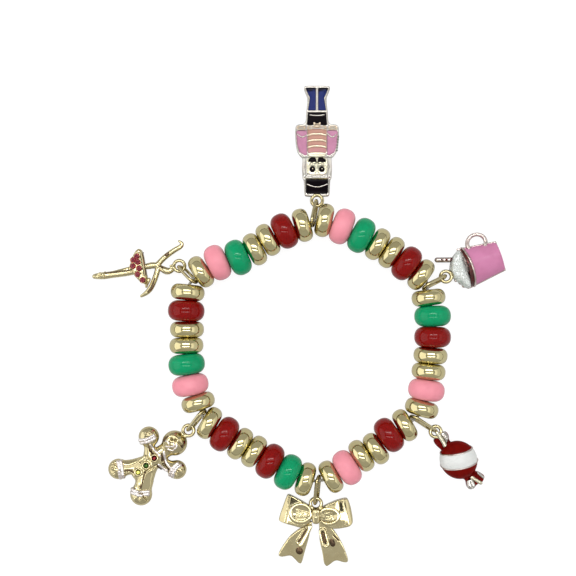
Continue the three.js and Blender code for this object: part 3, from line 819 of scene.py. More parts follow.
    @staticmethod
    def _around(points: Grid, faces: Grid) -> Grid:
        """Return the mean of each point's neighbours.

        Args:
            points: The points.
            faces: The faces between them.

        Returns:
            The means, as rows.
        """
        total, count = np.zeros_like(points), np.zeros(len(points))
        for i in range(4):
            here = faces[:, i]
            for near in (faces[:, (i + 1) % 4], faces[:, i - 1]):
                count += np.bincount(here, minlength=len(points))
                for axis in range(3):
                    total[:, axis] += np.bincount(here, points[near, axis], len(points))
        return total / np.maximum(count, 1)[:, None]

    @staticmethod
    def _faces(solid: Grid, number: Grid, axis: int) -> Grid:
        """Return the faces that cross the grid's lines along one axis.

        Args:
            solid: Which grid points are inside the form.
            number: Each cell's point, or -1.
            axis: The axis.

        Returns:
            The faces, each four points.
        """
        u, v = (axis + 1) % 3, (axis + 2) % 3
        step = np.eye(3, dtype=int)
        near = [slice(1, n - 1) for n in solid.shape]
        near[axis] = slice(0, solid.shape[axis] - 1)
        far = list(near)
        far[axis] = slice(1, solid.shape[axis])
        first, second = solid[tuple(near)], solid[tuple(far)]
        start = np.array([part.start for part in near])
        sheets = []
        for change, order in ((first & ~second, (0, 1, 2, 3)), (~first & second, (3, 2, 1, 0))):
            at = np.argwhere(change) + start
            ring = [at - step[u] - step[v], at - step[v], at, at - step[u]]
            sheets.append(np.stack([number[tuple(ring[i].T)] for i in order], 1))
        return np.concatenate(sheets)


def closed_tube(route: Grid, radius: float, sides: int) -> Shape:
    """Sweep a round section along a flat, closed route.

    Args:
        route: The points of its middle line.
        radius: The section's radius.
        sides: Its number of sides.

    Returns:
        The tube.
    """
    count = len(route)
    along = np.roll(route, -1, 0) - np.roll(route, 1, 0)
    along /= np.linalg.norm(along, axis=1)[:, None]
    side = np.cross([route[count // 3] - route[0]], [route[2 * count // 3] - route[0]])
    side = np.repeat(side / np.linalg.norm(side), count, 0)
    other = np.cross(along, side)
    turn = np.linspace(0, 2 * math.pi, sides, endpoint=False)[None, :, None]
    rings = route[:, None] + radius * (np.cos(turn) * side[:, None] + np.sin(turn) * other[:, None])
    faces = [(i * sides + k, i * sides + (k + 1) % sides, (i + 1) % count * sides + (k + 1) % sides,
              (i + 1) % count * sides + k) for i in range(count) for k in range(sides)]
    return Shape(rings.reshape(-1, 3), faces)


# ---- studio ----
@dataclass(frozen=True)
class Panel:
    """A lamp or a dim strip across the tent's ceiling, in degrees from straight above.

    It lies between `low` and `high` ahead, and reaches `reach` to both sides.
    """

    low: float
    high: float
    reach: float
    power: float


@dataclass
class Studio:
    """A white sweep under a light tent with two long lamps, and the camera straight above it.

    Angles are in degrees: rises are above the horizon, and a third number is the width of a soft edge.
    """

    camera_at: Point = (-0.0028, 0.0101, 0.3724)
    lens: float = 85.0
    sensor: float = 36.0
    panels: tuple = (Panel(7.0, 33.0, 27.0, 0.9), Panel(21.0, 26.0, 24.0, 11.0),
                     Panel(-10.1, -1.5, 27.0, 0.8), Panel(-9.6, -5.2, 24.0, 5.5),
                     Panel(-0.5, 6.0, 30.0, -0.55))
    panel_rise: tuple = (20, 30)
    panel_ends: tuple = (0.8, 1.0)
    left_wall: float = 1.55
    right_wall: float = 1.3
    right_foot: float = 0.62
    right_rise: tuple = (26, 42)
    wall_rise: tuple = (4, 52, 3)
    wall_ends: tuple = (32, 38)
    divide: float = 0.01
    end_wall: float = 0.5
    ceiling: float = 0.62
    ceiling_rise: tuple = (46, 58)
    seam: tuple = (32.5, 35.5, 1.0)
    seam_rise: tuple = (50, 54)
    seam_dark: float = 0.85
    horizon: tuple = (1.5, 4.5)
    horizon_light: float = 0.1
    backdrop: float = 1.05
    floor_reach: float = 2.0
    floor_roughness: float = 0.9
    paper: tuple = (0.58, 0.08)
    glare: tuple = (0.16, 0.9)

    def build(self) -> None:
        """Set up the camera, the light and the floor."""
        self._camera()
        self._tent()
        self._floor()
        log.info("studio: camera, light tent and floor")

    def _camera(self) -> None:
        """Hang the camera over the loop, looking down."""
        data = bpy.data.cameras.new("overhead")
        data.lens = self.lens
        data.sensor_width = self.sensor
        camera = bpy.data.objects.new("overhead", data)
        camera.location = self.camera_at
        bpy.context.scene.collection.objects.link(camera)
        bpy.context.scene.camera = camera
        bpy.context.scene.view_settings.view_transform = "Standard"

    def _tent(self) -> None:
        """Light everything from a tent: bright side walls, and a dimmer ceiling with long lamps."""
        world = bpy.data.worlds.new("light_tent")
        world.use_nodes = True
        bpy.context.scene.world = world
        recipe = Recipe(world.node_tree)
        way = recipe.node("ShaderNodeTexCoord", output="Generated")
        x = recipe.node("ShaderNodeSeparateXYZ", {}, {0: way})
        y, z = x.beside(1), x.beside(2)
        degrees = 180 / math.pi

        def angle(first: Value, second: Value) -> Value:
            """Return the angle whose tangent is first / second, in degrees."""
            return recipe.node("ShaderNodeMath", {"operation": "ARCTAN2"}, {0: first, 1: second}) * degrees

        right, ahead = angle(x, z), angle(y, z)
        rise = recipe.node("ShaderNodeMath", {"operation": "ARCSINE"}, {0: z}) * degrees
        bearing = abs(angle(y, abs(x)))
        side = rise.within(*self.wall_rise) * (1 - bearing.ramp(*self.wall_ends))
        on_left = 1 - x.ramp(-self.divide, self.divide)
        right_side = self.right_wall * (self.right_foot + (1 - self.right_foot) * rise.ramp(*self.right_rise))
        wall = right_side + on_left * (self.left_wall - right_side)
        light = self.ceiling + (self.end_wall - self.ceiling) * (1 - rise.ramp(*self.ceiling_rise))
        light = light + (wall - self.end_wall) * side
        seam = abs(right).within(*self.seam) * rise.ramp(*self.seam_rise)
        light = light * (1 - self.seam_dark * seam)
        edge, end = self.panel_ends
        for panel in self.panels:
            mask = ahead.within(panel.low, panel.high, edge) * abs(right).within(-1, panel.reach, end)
            light = light + mask * panel.power * rise.ramp(*self.panel_rise)
        light = light * (self.horizon_light + (1 - self.horizon_light) * rise.ramp(*self.horizon))
        seen = recipe.node("ShaderNodeLightPath", output="Is Camera Ray")
        strength = light * (1 - seen) + seen * self.backdrop
        glow = recipe.node("ShaderNodeBackground", {}, {"Color": (1, 1, 1), "Strength": strength})
        recipe.node("ShaderNodeOutputWorld", {}, {"Surface": glow})

    def _paper(self, recipe: Recipe, tone: float, glow: float) -> Value:
        """Return matt paper.

        Args:
            recipe: The floor's recipe.
            tone: How pale it is.
            glow: How much light it gives of its own.

        Returns:
            Its shader.
        """
        return recipe.node("ShaderNodeBsdfPrincipled", {}, {
            "Base Color": (tone, tone, tone), "Roughness": self.floor_roughness,
            "Emission Color": (1, 1, 1), "Emission Strength": glow})

    def _floor(self) -> None:
        """Lay the white sweep under the bracelet."""
        mesh = bpy.data.meshes.new("white_sweep")
        reach = self.floor_reach
        corners = [(x, y, 0) for x, y in ((-reach, -reach), (reach, -reach), (reach, reach), (-reach, reach))]
        mesh.from_pydata(corners, [], [(0, 1, 2, 3)])
        floor = bpy.data.objects.new("white_sweep", mesh)
        bpy.context.scene.collection.objects.link(floor)
        material = bpy.data.materials.new("white_sweep")
        material.use_nodes = True
        recipe = Recipe(material.node_tree)
        seen = recipe.node("ShaderNodeLightPath", output="Is Camera Ray")
        sides = {0: seen, 1: self._paper(recipe, *self.paper), 2: self._paper(recipe, *self.glare)}
        both = recipe.node("ShaderNodeMixShader", {}, sides)
        recipe.node("ShaderNodeOutputMaterial", {}, {"Surface": both})
        mesh.materials.append(material)


# ---- beads, elastic and links ----
def corners_of(node: str) -> Grid:
    """Return a CAD node's points.

    Args:
        node: The node's name.

    Returns:
        Its points, in millimetres.
    """
    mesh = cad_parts[node].data
    flat = np.empty(len(mesh.vertices) * 3, np.float32)
    mesh.vertices.foreach_get("co", flat)
    return np.unique(np.round(flat.reshape(-1, 3) / MM, 3), axis=0).astype(float)


def main_ways(points: Grid) -> Grid:
    """Return the directions in which points spread, the least first, as rows."""
    return np.linalg.eigh(np.cov((points - points.mean(0)).T))[1].T


@dataclass(frozen=True)
class BeadKind:
    """The size and finish of one kind of bead, in millimetres."""

    look: Look
    slot: str
    radius: float
    width: float
    rim: float
    bore: float
    fullness: float
    face: float = 0.06
    swell: float = 0.05
    chamfer: float = 0.22
    chamfer_step: float = 0.05
    bore_end: float = 0.9
    face_rise: tuple = (0.02, 0.25)
    steps: int = 12
    sides: int = 52

    def profile(self) -> list[tuple[float, float]]:
        """Lay out the bead's section.

        Returns:
            The closed section: along the axis, and out.
        """
        half, flat = self.width / 2 + self.swell, self.radius - self.rim
        rise, run = self.face_rise
        side = [(half * self.bore_end, self.bore),
                (half - self.face - self.chamfer_step, self.bore + self.chamfer * 0.5),
                (half - self.face, self.bore + self.chamfer), (half - rise, flat - run)]
        crown = []
        for i in range(self.steps + 1):
            turn = math.pi / 2 * i / self.steps
            along, out = (abs(part) ** (2 / self.fullness) for part in (math.sin(turn), math.cos(turn)))
            crown.append((half * along, flat + self.rim * out))
        right = side + crown[::-1]
        return right + [(-along, out) for along, out in reversed(right[:-1])]

    def shape(self, at: Grid, axis: Grid) -> Shape:
        """Turn the bead on a lathe.

        Args:
            at: Its middle.
            axis: The way that its bore runs.

        Returns:
            The bead.
        """
        rows = np.array(self.profile())
        up = np.array([0.0, 0.0, 1.0])
        side = np.cross(axis, up)
        turn = np.linspace(0, 2 * math.pi, self.sides, endpoint=False)
        out = np.cos(turn)[:, None] * up + np.sin(turn)[:, None] * side
        points = at + rows[None, :, 0, None] * axis + rows[None, :, 1, None] * out[:, None]
        count, around = len(rows), self.sides
        faces = [(i * count + k, (i + 1) % around * count + k, (i + 1) % around * count + (k + 1) % count,
                  i * count + (k + 1) % count) for i in range(around) for k in range(count)]
        return Shape(points.reshape(-1, 3), faces)


@dataclass
class BeadString:
    """The drilled beads and the stretch cord through them."""

    gold: BeadKind = BeadKind(Look.GOLD, "bead_gold", 4.6, 4.2, 2.1, 1.2, 2.2)
    red: BeadKind = BeadKind(Look.RED, "bead_red", 4.95, 5.5, 2.9, 1.15, 2.25)
    green: BeadKind = BeadKind(Look.GREEN, "bead_green", 4.95, 5.5, 2.9, 1.15, 2.25)
    pink: BeadKind = BeadKind(Look.PINK, "bead_pink", 4.95, 5.5, 2.9, 1.15, 2.25)
    cord_z: float = 4.8
    cord_radius: float = 0.4
    cord_steps: int = 8
    cord_sides: int = 14
    grip: float = 0.34

    def build(self) -> None:
        """Make a bead for each CAD bead, and the cord."""
        names = sorted(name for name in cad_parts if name.startswith("bead_"))
        places = []
        for name in names:
            low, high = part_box(name)
            at = np.array((low + high) / 2) / MM
            axis = main_ways(corners_of(name))[0]
            axis[2] = 0.0
            places.append((at, axis / np.linalg.norm(axis)))
        middle = np.mean([at for at, _ in places], axis=0)
        knots = []
        for name, (at, axis) in zip(names, places):
            around = np.cross(at - middle, (0, 0, 1))
            axis = axis if axis @ around > 0 else -axis
            kind = getattr(self, name.rsplit("_", 1)[1])
            make_piece(f"turned_{name}", kind.shape(at, axis), kind.look, nodes=[name])
            knots += [at + axis * kind.width * part for part in (-self.grip, self.grip)]
        self._cord(np.array(knots))

    def _cord(self, knots: Grid) -> None:
        """Run the cord through every bore.

        Args:
            knots: Two points in each bore, in order.
        """
        knots[:, 2] = self.cord_z
        before, after, beyond = np.roll(knots, 1, 0), np.roll(knots, -1, 0), np.roll(knots, -2, 0)
        rows = []
        for i in range(self.cord_steps):
            t = i / self.cord_steps
            rows.append(0.5 * (2 * knots + (after - before) * t
                               + (2 * before - 5 * knots + 4 * after - beyond) * t ** 2
                               + (3 * knots - before - 3 * after + beyond) * t ** 3))
        route = np.stack(rows, 1).reshape(-1, 3)
        make_piece("stretch_cord", closed_tube(route, self.cord_radius, self.cord_sides), Look.ELASTIC,
                   nodes=["elastic_cord"])


@dataclass
class JumpRings:
    """The oval rings between the elastic and the charms."""

    wire: float = 0.85
    bend: float = 1.6
    steps: int = 22
    sides: int = 16

    def build(self) -> None:
        """Make a ring for each CAD link."""
        for name in sorted(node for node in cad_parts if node.startswith("link_")):
            points = corners_of(name)
            normal, across, along = main_ways(points)
            spread = (points - points.mean(0)) @ along
            middle = points.mean(0) + along * (spread.max() + spread.min()) / 2
            reach = spread.max() - spread.min() - 2 * self.bend - self.wire
            make_piece(f"jump_ring_{name[5:]}", self._ring(middle, along, across, reach), Look.BRIGHT_GOLD,
                       nodes=[name])

    def _ring(self, middle: Grid, along: Grid, across: Grid, reach: float) -> Shape:
        """Bend one ring of wire.

        Args:
            middle: Its centre.
            along: Its long direction.
            across: Its short direction.
            reach: The length of its straight sides.

        Returns:
            The ring.
        """
        route = []
        for half in (1, -1):
            for i in range(self.steps + 1):
                turn = math.pi * (i / self.steps - 0.5)
                route.append(middle + half * (along * (reach / 2 + self.bend * math.cos(turn))
                                              + across * self.bend * math.sin(turn)))
        return closed_tube(np.array(route), self.wire / 2, self.sides)


# ---- charms ----
@dataclass
class Charm:
    """What the charms share: a station, the corners and the cells of their grid, and a cast loop."""

    station: Station
    low: Point
    high: Point
    cell: float = 0.14
    floor_gap: float = 0.02
    loop_outer: float = 1.95
    loop_hole: float = 1.0
    loop_bottom: float = 1.45
    loop_top: float = 2.65
    loop_fillet: float = 0.4
    hole_edge: float = 0.12
    neck_from: float = 1.4
    neck_drop: float = 0.1
    neck_edge: float = 0.3

    def block(self) -> Block:
        """Return an empty block for this charm."""
        return Block(self.low, self.high, self.cell)

    def piece(self, name: str, block: Block, look: Look, nodes: Sequence[str] = (),
              slot: str | None = None) -> None:
        """Cut a block off at the floor and set it down as a piece."""
        block.keep(self.floor_gap - block.z)
        make_piece(name, block.skin(), look, self.station, nodes)

    def hang(self, block: Block, neck_to: float, half: float, bottom: float = 0.0) -> None:
        """Add the cast loop and the neck that holds it.

        Args:
            block: The casting.
            neck_to: Where the neck ends.
            half: Half of its width.
            bottom: Its underside.
        """
        neck = block.outline(mirrored([(self.neck_from, half), (neck_to, half)]))
        block.add(block.slab(neck, bottom, self.loop_top - self.neck_drop, self.neck_edge), self.neck_edge)
        wire, tall = (self.loop_outer - self.loop_hole) / 2, (self.loop_top - self.loop_bottom) / 2
        reach = np.sqrt(block.x ** 2 + block.y ** 2) - (self.loop_outer + self.loop_hole) / 2
        lift = (block.z - (self.loop_bottom + self.loop_top) / 2) * (wire / tall)
        block.add(np.sqrt(reach * reach + lift * lift) - wire, self.loop_fillet)
        block.cut(block.near([(0, 0)]) - self.loop_hole + 0 * block.z, self.hole_edge)

    def loop_piece(self, name: str, neck_to: float, half: float) -> None:
        """Make the cast loop and its neck as a gold piece of their own.

        Args:
            name: The piece's name.
            neck_to: Where the neck ends.
            half: Half of its width.
        """
        block = Block((-2.0, -2.0, 0), (neck_to + 0.4, 2.0, 3.0), self.cell)
        self.hang(block, neck_to, half, 0.9)
        self.piece(name, block, Look.BRIGHT_GOLD)

    def paint_shade(self, name: str, metal: Block, lines: Sequence[tuple]) -> None:
        """Make dark pieces laid in a casting's creases and dents, as painted shade.

        Args:
            name: The piece's name.
            metal: The casting.
            lines: Where it lies, each a width and the points of a line.
        """
        dark = self.block()
        for radius, *points in lines:
            dark.add(dark.chain(metal.drape(points, radius, 0.1 - 0.5 * radius), 0.5))
        self.piece(name, dark, Look.PAINTED_SHADE)


@dataclass
class Gem:
    """A round cut stone: a table, 32 crown facets in two rings, and a girdle.

    Each level is its size, its height, both as shares, and how far its corners are turned, in sides.
    """

    radius: float
    height: float = 0.55
    sides: int = 8
    levels: tuple = ((1.0, -0.35, 0.0), (1.0, 0.0, 0.0), (0.80, 0.55, 0.5), (0.52, 1.0, 0.0))

    def shape(self, at: Point, turn: float = 0.0) -> Shape:
        """Cut the stone.

        Args:
            at: The middle of its girdle.
            turn: How far it is turned, in radians.

        Returns:
            The stone.
        """
        points, faces, n = [], [], self.sides
        for size, rise, twist in self.levels:
            for i in range(n):
                a, reach = turn + 2 * math.pi * (i + twist) / n, self.radius * size
                points.append((at[0] + reach * math.cos(a), at[1] + reach * math.sin(a),
                               at[2] + self.height * rise))
        for i in range(n):
            j = (i + 1) % n
            faces.append((i, j, n + j, n + i))
            faces += [(n + i, n + j, 2 * n + i), (n + j, 2 * n + j, 2 * n + i)]
            faces += [(2 * n + i, 2 * n + j, 3 * n + j), (2 * n + i, 3 * n + j, 3 * n + i)]
        faces.append(tuple(range(3 * n, 4 * n)))
        faces.append(tuple(reversed(range(n))))
        return Shape(np.array(points), faces)


@dataclass
class Nutcracker(Charm):
    """A flat casting of a toy soldier, with enamel in its pockets and raised trim."""

    station: Station = Station(5.1, 33.9, 90)
    low: Point = (-2.0, -6.1, 0)
    high: Point = (31.4, 6.1, 3.3)
    cell: float = 0.112
    plate: float = 2.4
    plate_edge: float = 0.32
    pocket: float = 1.5
    pocket_edge: float = 0.08
    boot_depth: float = 0.35
    enamel_top: float = 2.38
    body: tuple = (
        (1.1, 2.9), (1.5, 3.45), (5.6, 3.6), (5.9, 3.95), (9.0, 4.15), (11.6, 3.9), (12.0, 4.5), (13.1, 5.3),
        (14.9, 5.75), (18.5, 6.0), (20.2, 5.9), (20.75, 5.2), (20.85, 3.15), (24.0, 2.95), (27.9, 2.5),
        (30.4, 3.6), (31.05, 3.45), (31.25, 2.9))
    hat: tuple = ((1.85, 2.55), (2.15, 2.98), (5.8, 3.0))
    arm: tuple = ((12.5, 2.75), (12.3, 3.3), (13.2, 4.75), (14.9, 5.3), (18.4, 5.6), (19.0, 5.5),
                  (19.05, 2.75))
    torso: tuple = ((12.9, 2.2), (13.3, 2.58), (19.4, 2.58))
    trousers: tuple = ((20.55, 2.72), (23.95, 2.42))
    boot: tuple = ((24.6, 0.34), (24.6, 2.42), (27.9, 1.9), (30.2, 2.95), (30.62, 3.0), (30.62, 0.34))
    # Pale wires raised where pale lines show: on the hat and the breeches they stand for highlights on the
    # domed enamel, as painted highlights; on the arms they stand partly for cloisonné wire and partly for
    # highlights.
    bead_lines: tuple = (
        ((4.45, 2.75), (3.85, 1.3), (3.65, 0.1), (3.85, -1.3), (4.5, -2.8)),
        ((23.3, 1.95), (23.12, 0.7), (23.12, -0.7), (23.35, -2.0)),
        ((18.1, 5.3), (17.3, 4.5), (17.2, 3.9), (17.7, 3.0)),
        ((18.2, -2.95), (17.3, -3.7), (17.2, -4.4), (17.95, -5.2)))
    bead_line: tuple = (2.36, 0.13)
    brim: tuple = ((5.95, 3.6), (6.75, 3.6))
    hem: tuple = ((24.05, 2.6), (24.45, 2.55))
    brim_top: float = 2.7
    hem_top: float = 2.55
    head: tuple = (6.75, 11.7)
    head_top: float = 2.46
    lean: float = 0.035
    temple: tuple = ((11.8, 2.95, 2.32, 0.17), (9.0, 3.15, 2.4, 0.17), (6.9, 2.95, 2.46, 0.17))
    notches: int = 6
    notch_from: Point = (13.6, -5.62)
    notch_step: Point = (0.75, -0.07)
    braids: tuple = (14.7, 16.35, 18.0)
    braid: tuple = ((-0.25, 2.4, 2.35, 0.33), (0.1, 1.2, 2.4, 0.35), (0.1, -1.2, 2.4, 0.35),
                    (-0.25, -2.45, 2.35, 0.33))
    braid_flat: float = 0.7
    cuffs: tuple = ((3.0, 5.6), (1.15, 2.75), (-2.75, -1.15), (-5.6, -3.0))
    cuff_span: tuple = (19.15, 20.45)
    cuff_taper: float = 0.15
    cuff_rim: float = 0.3
    cuff_heights: tuple = (2.2, 2.75)
    cuff_studs: tuple = (5.0, 4.3, 3.6, 2.2, -2.2, -3.6, -4.3, -5.0)
    stud: tuple = (19.82, 2.45, 0.26)
    trim_foot: float = 1.6
    buckle: tuple = ((19.7, 1.0), (21.3, 1.0))
    buckle_top: float = 2.85
    buckle_holes: tuple = ((((19.9, 0.62), (20.7, 0.62)), 2.5), (((20.95, 0.5), (21.6, 0.5)), 2.3))
    cheeks: tuple = ((7.0, 2.7), (9.0, 2.9), (11.9, 2.75))
    cheek_top: float = 2.7
    cheek: tuple = ((9.6, 0.6, 2.5, 0.3), (9.9, 1.5, 2.5, 0.3), (9.5, 2.2, 2.5, 0.2))
    brow: tuple = ((7.35, 0.6, 2.5, 0.14), (7.2, 1.4, 2.55, 0.16), (7.45, 2.2, 2.5, 0.14))
    face_from: float = 6.95
    face_foot: float = 2.0
    feature_floor: float = 2.3
    collar: tuple = ((11.75, 2.4), (12.7, 2.3), (13.15, 1.8))
    collar_top: float = 2.98
    collar_groove: tuple = ((11.95, -2.3, 2.85, 0.12), (11.95, 2.3, 2.85, 0.12))
    nose: tuple = ((7.6, 0, 2.5, 0.2), (9.2, 0, 2.65, 0.3), (9.9, 0, 2.65, 0.42))
    eye: tuple = (8.5, 1.27, 0.74)
    moustache: tuple = ((10.5, 0.2), (10.5, 2.35), (10.8, 2.42), (11.25, 2.2), (11.62, 1.75), (11.78, 1.2),
                        (11.65, 0.65), (11.25, 0.28), (10.8, 0.14))

    def fields(self, block: Block) -> dict[str, Grid]:
        """Lay out the enamel fields.

        Args:
            block: The block to measure in.

        Returns:
            Each field's distance, by name.
        """
        sides = {f"{name}_{side}": block.outline(sided(ring, way))
                 for name, ring in (("arm", self.arm), ("boot", self.boot))
                 for side, way in (("left", 1), ("right", -1))}
        whole = {name: block.outline(mirrored(ring))
                 for name, ring in (("hat", self.hat), ("torso", self.torso), ("trousers", self.trousers))}
        return {**sides, **whole}

    def half_moustache(self, block: Block, side: int) -> Grid:
        """Return the outline of the moustache on one side of the nose."""
        return block.outline(sided(self.moustache, side))

    def build(self) -> None:
        """Make the casting, its trim and its enamel."""
        metal = self.block()
        body = metal.outline(rounded(mirrored(self.body)))
        metal.add(metal.slab(body, 0.0, self.plate + 0.05, self.plate_edge))
        for name, flat in self.fields(metal).items():
            depth = self.plate - self.boot_depth if name.startswith("boot") else self.pocket
            metal.cut(metal.slab(flat, depth, FAR, self.pocket_edge), 0.05)
        start, end = self.head
        metal.sink(np.maximum(start - metal.x, metal.x - end), self.head_top - self.lean * (metal.x - start))
        # Pale wires: partly painted highlights on the enamel, partly wire.
        for line in self.bead_lines:
            metal.add(metal.chain([(x, y, *self.bead_line) for x, y in eased(line)]))
        metal.add(metal.slab(metal.outline(rounded(mirrored(self.brim))), 1.0, self.brim_top, 0.3), 0.05)
        metal.add(metal.slab(metal.outline(mirrored(self.hem)), 1.0, self.hem_top, 0.15), 0.1)
        for side in (1, -1):
            metal.cut(metal.chain(sided(self.temple, side)), 0.04)
        for i in range(self.notches):
            metal.cut(metal.ball((*self._notch(i), 2.5), (0.2, 0.42, 0.6)), 0.05)
        self.piece("nutcracker_plate", metal, Look.PALE, ["nutcracker_casting"], "pale_casting")
        self.loop_piece("nutcracker_loop", 1.7, 0.95)
        self._trim()
        self._face()
        self._enamel()
        self._black()

    def _notch(self, index: int) -> tuple[float, float]:
        """Return the place of one notch in the roped edge."""
        return tuple(start + step * index for start, step in zip(self.notch_from, self.notch_step))

    def _trim(self) -> None:
        """Make the braids, the scalloped cuffs and the belt buckle."""
        trim = self.block()
        for at in self.braids:
            rows = [(at + shift, *rest) for shift, *rest in self.braid]
            trim.add(trim.chain(rows, self.braid_flat, 0.1))
        (near, far), (floor, top) = self.cuff_span, self.cuff_heights
        for low_y, high_y in self.cuffs:
            flat = trim.outline(rounded([(near, low_y), (near, high_y), (far, high_y - self.cuff_taper),
                                         (far, low_y + self.cuff_taper)]))
            trim.add(trim.relief(flat, top, 0.25))
            trim.sink(flat + self.cuff_rim, floor, 0.06)
        x, z, radius = self.stud
        for y in self.cuff_studs:
            trim.add(trim.ball((x, y, z), radius), 0.03)
        trim.add(trim.relief(trim.outline(mirrored(self.buckle)), self.buckle_top, 0.2))
        for hole, floor in self.buckle_holes:
            trim.sink(trim.outline(mirrored(hole)), floor, 0.08)
        trim.keep(self.trim_foot - trim.z)
        self.piece("nutcracker_trim", trim, Look.TRIM)

    def _face(self) -> None:
        """Model the cheeks, the nose, the brows and the collar."""
        face = self.block()
        lean = self.lean * (face.x - self.face_from)
        face.add(face.relief(face.outline(rounded(mirrored(self.cheeks))), self.cheek_top - lean, 0.15))
        face.add(face.relief(face.outline(rounded(mirrored(self.collar))), self.collar_top - lean, 0.2), 0.05)
        face.cut(face.limb(*self.collar_groove), 0.06)
        face.add(face.chain(self.nose), 0.25)
        for side in (1, -1):
            face.add(face.chain(sided(self.cheek, side)), 0.25)
            face.add(face.chain(sided(self.brow, side)), 0.12)
            face.sink(face.near([(self.eye[0], self.eye[1] * side)]) - self.eye[2], self.feature_floor)
            face.cut(face.slab(self.half_moustache(face, side), self.feature_floor, FAR, 0.05), 0.05)
        face.keep(self.face_foot - face.z)
        self.piece("nutcracker_face", face, Look.FACE)

    def _enamel(self) -> None:
        """Fill the pockets with enamel, a piece for each colour."""
        plan = {
            "nutcracker_arms": (Look.COAT, ["arm_left", "arm_right"], [], None),
            "nutcracker_torso": (Look.TORSO, ["torso"], ["nutcracker_coat"], "coat_enamel"),
            "nutcracker_shako": (Look.BLACK, ["hat"], ["nutcracker_hat"], "black_enamel"),
            "nutcracker_breeches": (Look.BLACK, ["trousers"], ["nutcracker_trousers"], "black_enamel"),
            "nutcracker_boots": (Look.BLUE, ["boot_left", "boot_right"], [], None),
        }
        for name, (look, keys, nodes, slot) in plan.items():
            block = self.block()
            fields = self.fields(block)
            for key in keys:
                bottom = 2.0 if key.startswith("boot") else 1.4
                block.add(block.dome(fields[key], bottom, self.enamel_top, 0.6, 0.2))
            self.piece(name, block, look, nodes, slot)

    def _black(self) -> None:
        """Make the moustache, pale dots in the eyes as painted highlights, and black in the roped edge's
        notches as painted shade.
        """
        black, white = self.block(), self.block()
        # Black dots in the notches of the roped edge stand for the shade between the rope's strands: painted
        # shade.
        for i in range(self.notches):
            x, y = self._notch(i)
            black.add(black.ball((x, y + 0.12, 2.3), (0.2, 0.26, 0.2)))
        for side in (1, -1):
            black.add(black.dome(self.half_moustache(black, side) + 0.03, 2.2, 2.85, 0.9, 0.35))
            x, y = self.eye[0], self.eye[1] * side
            black.add(np.maximum(black.near([(x, y)]) - self.eye[2] + 0.02, np.abs(black.z - 2.55) - 0.25))
            # A pale dot off the middle of each eye: a painted highlight.
            white.add(white.ball((x + 0.12, y - 0.1, 2.76), (0.22, 0.2, 0.14)))
        self.piece("nutcracker_moustache_and_rope_shade", black, Look.BLACK)
        self.piece("nutcracker_eye_glints", white, Look.FACE)


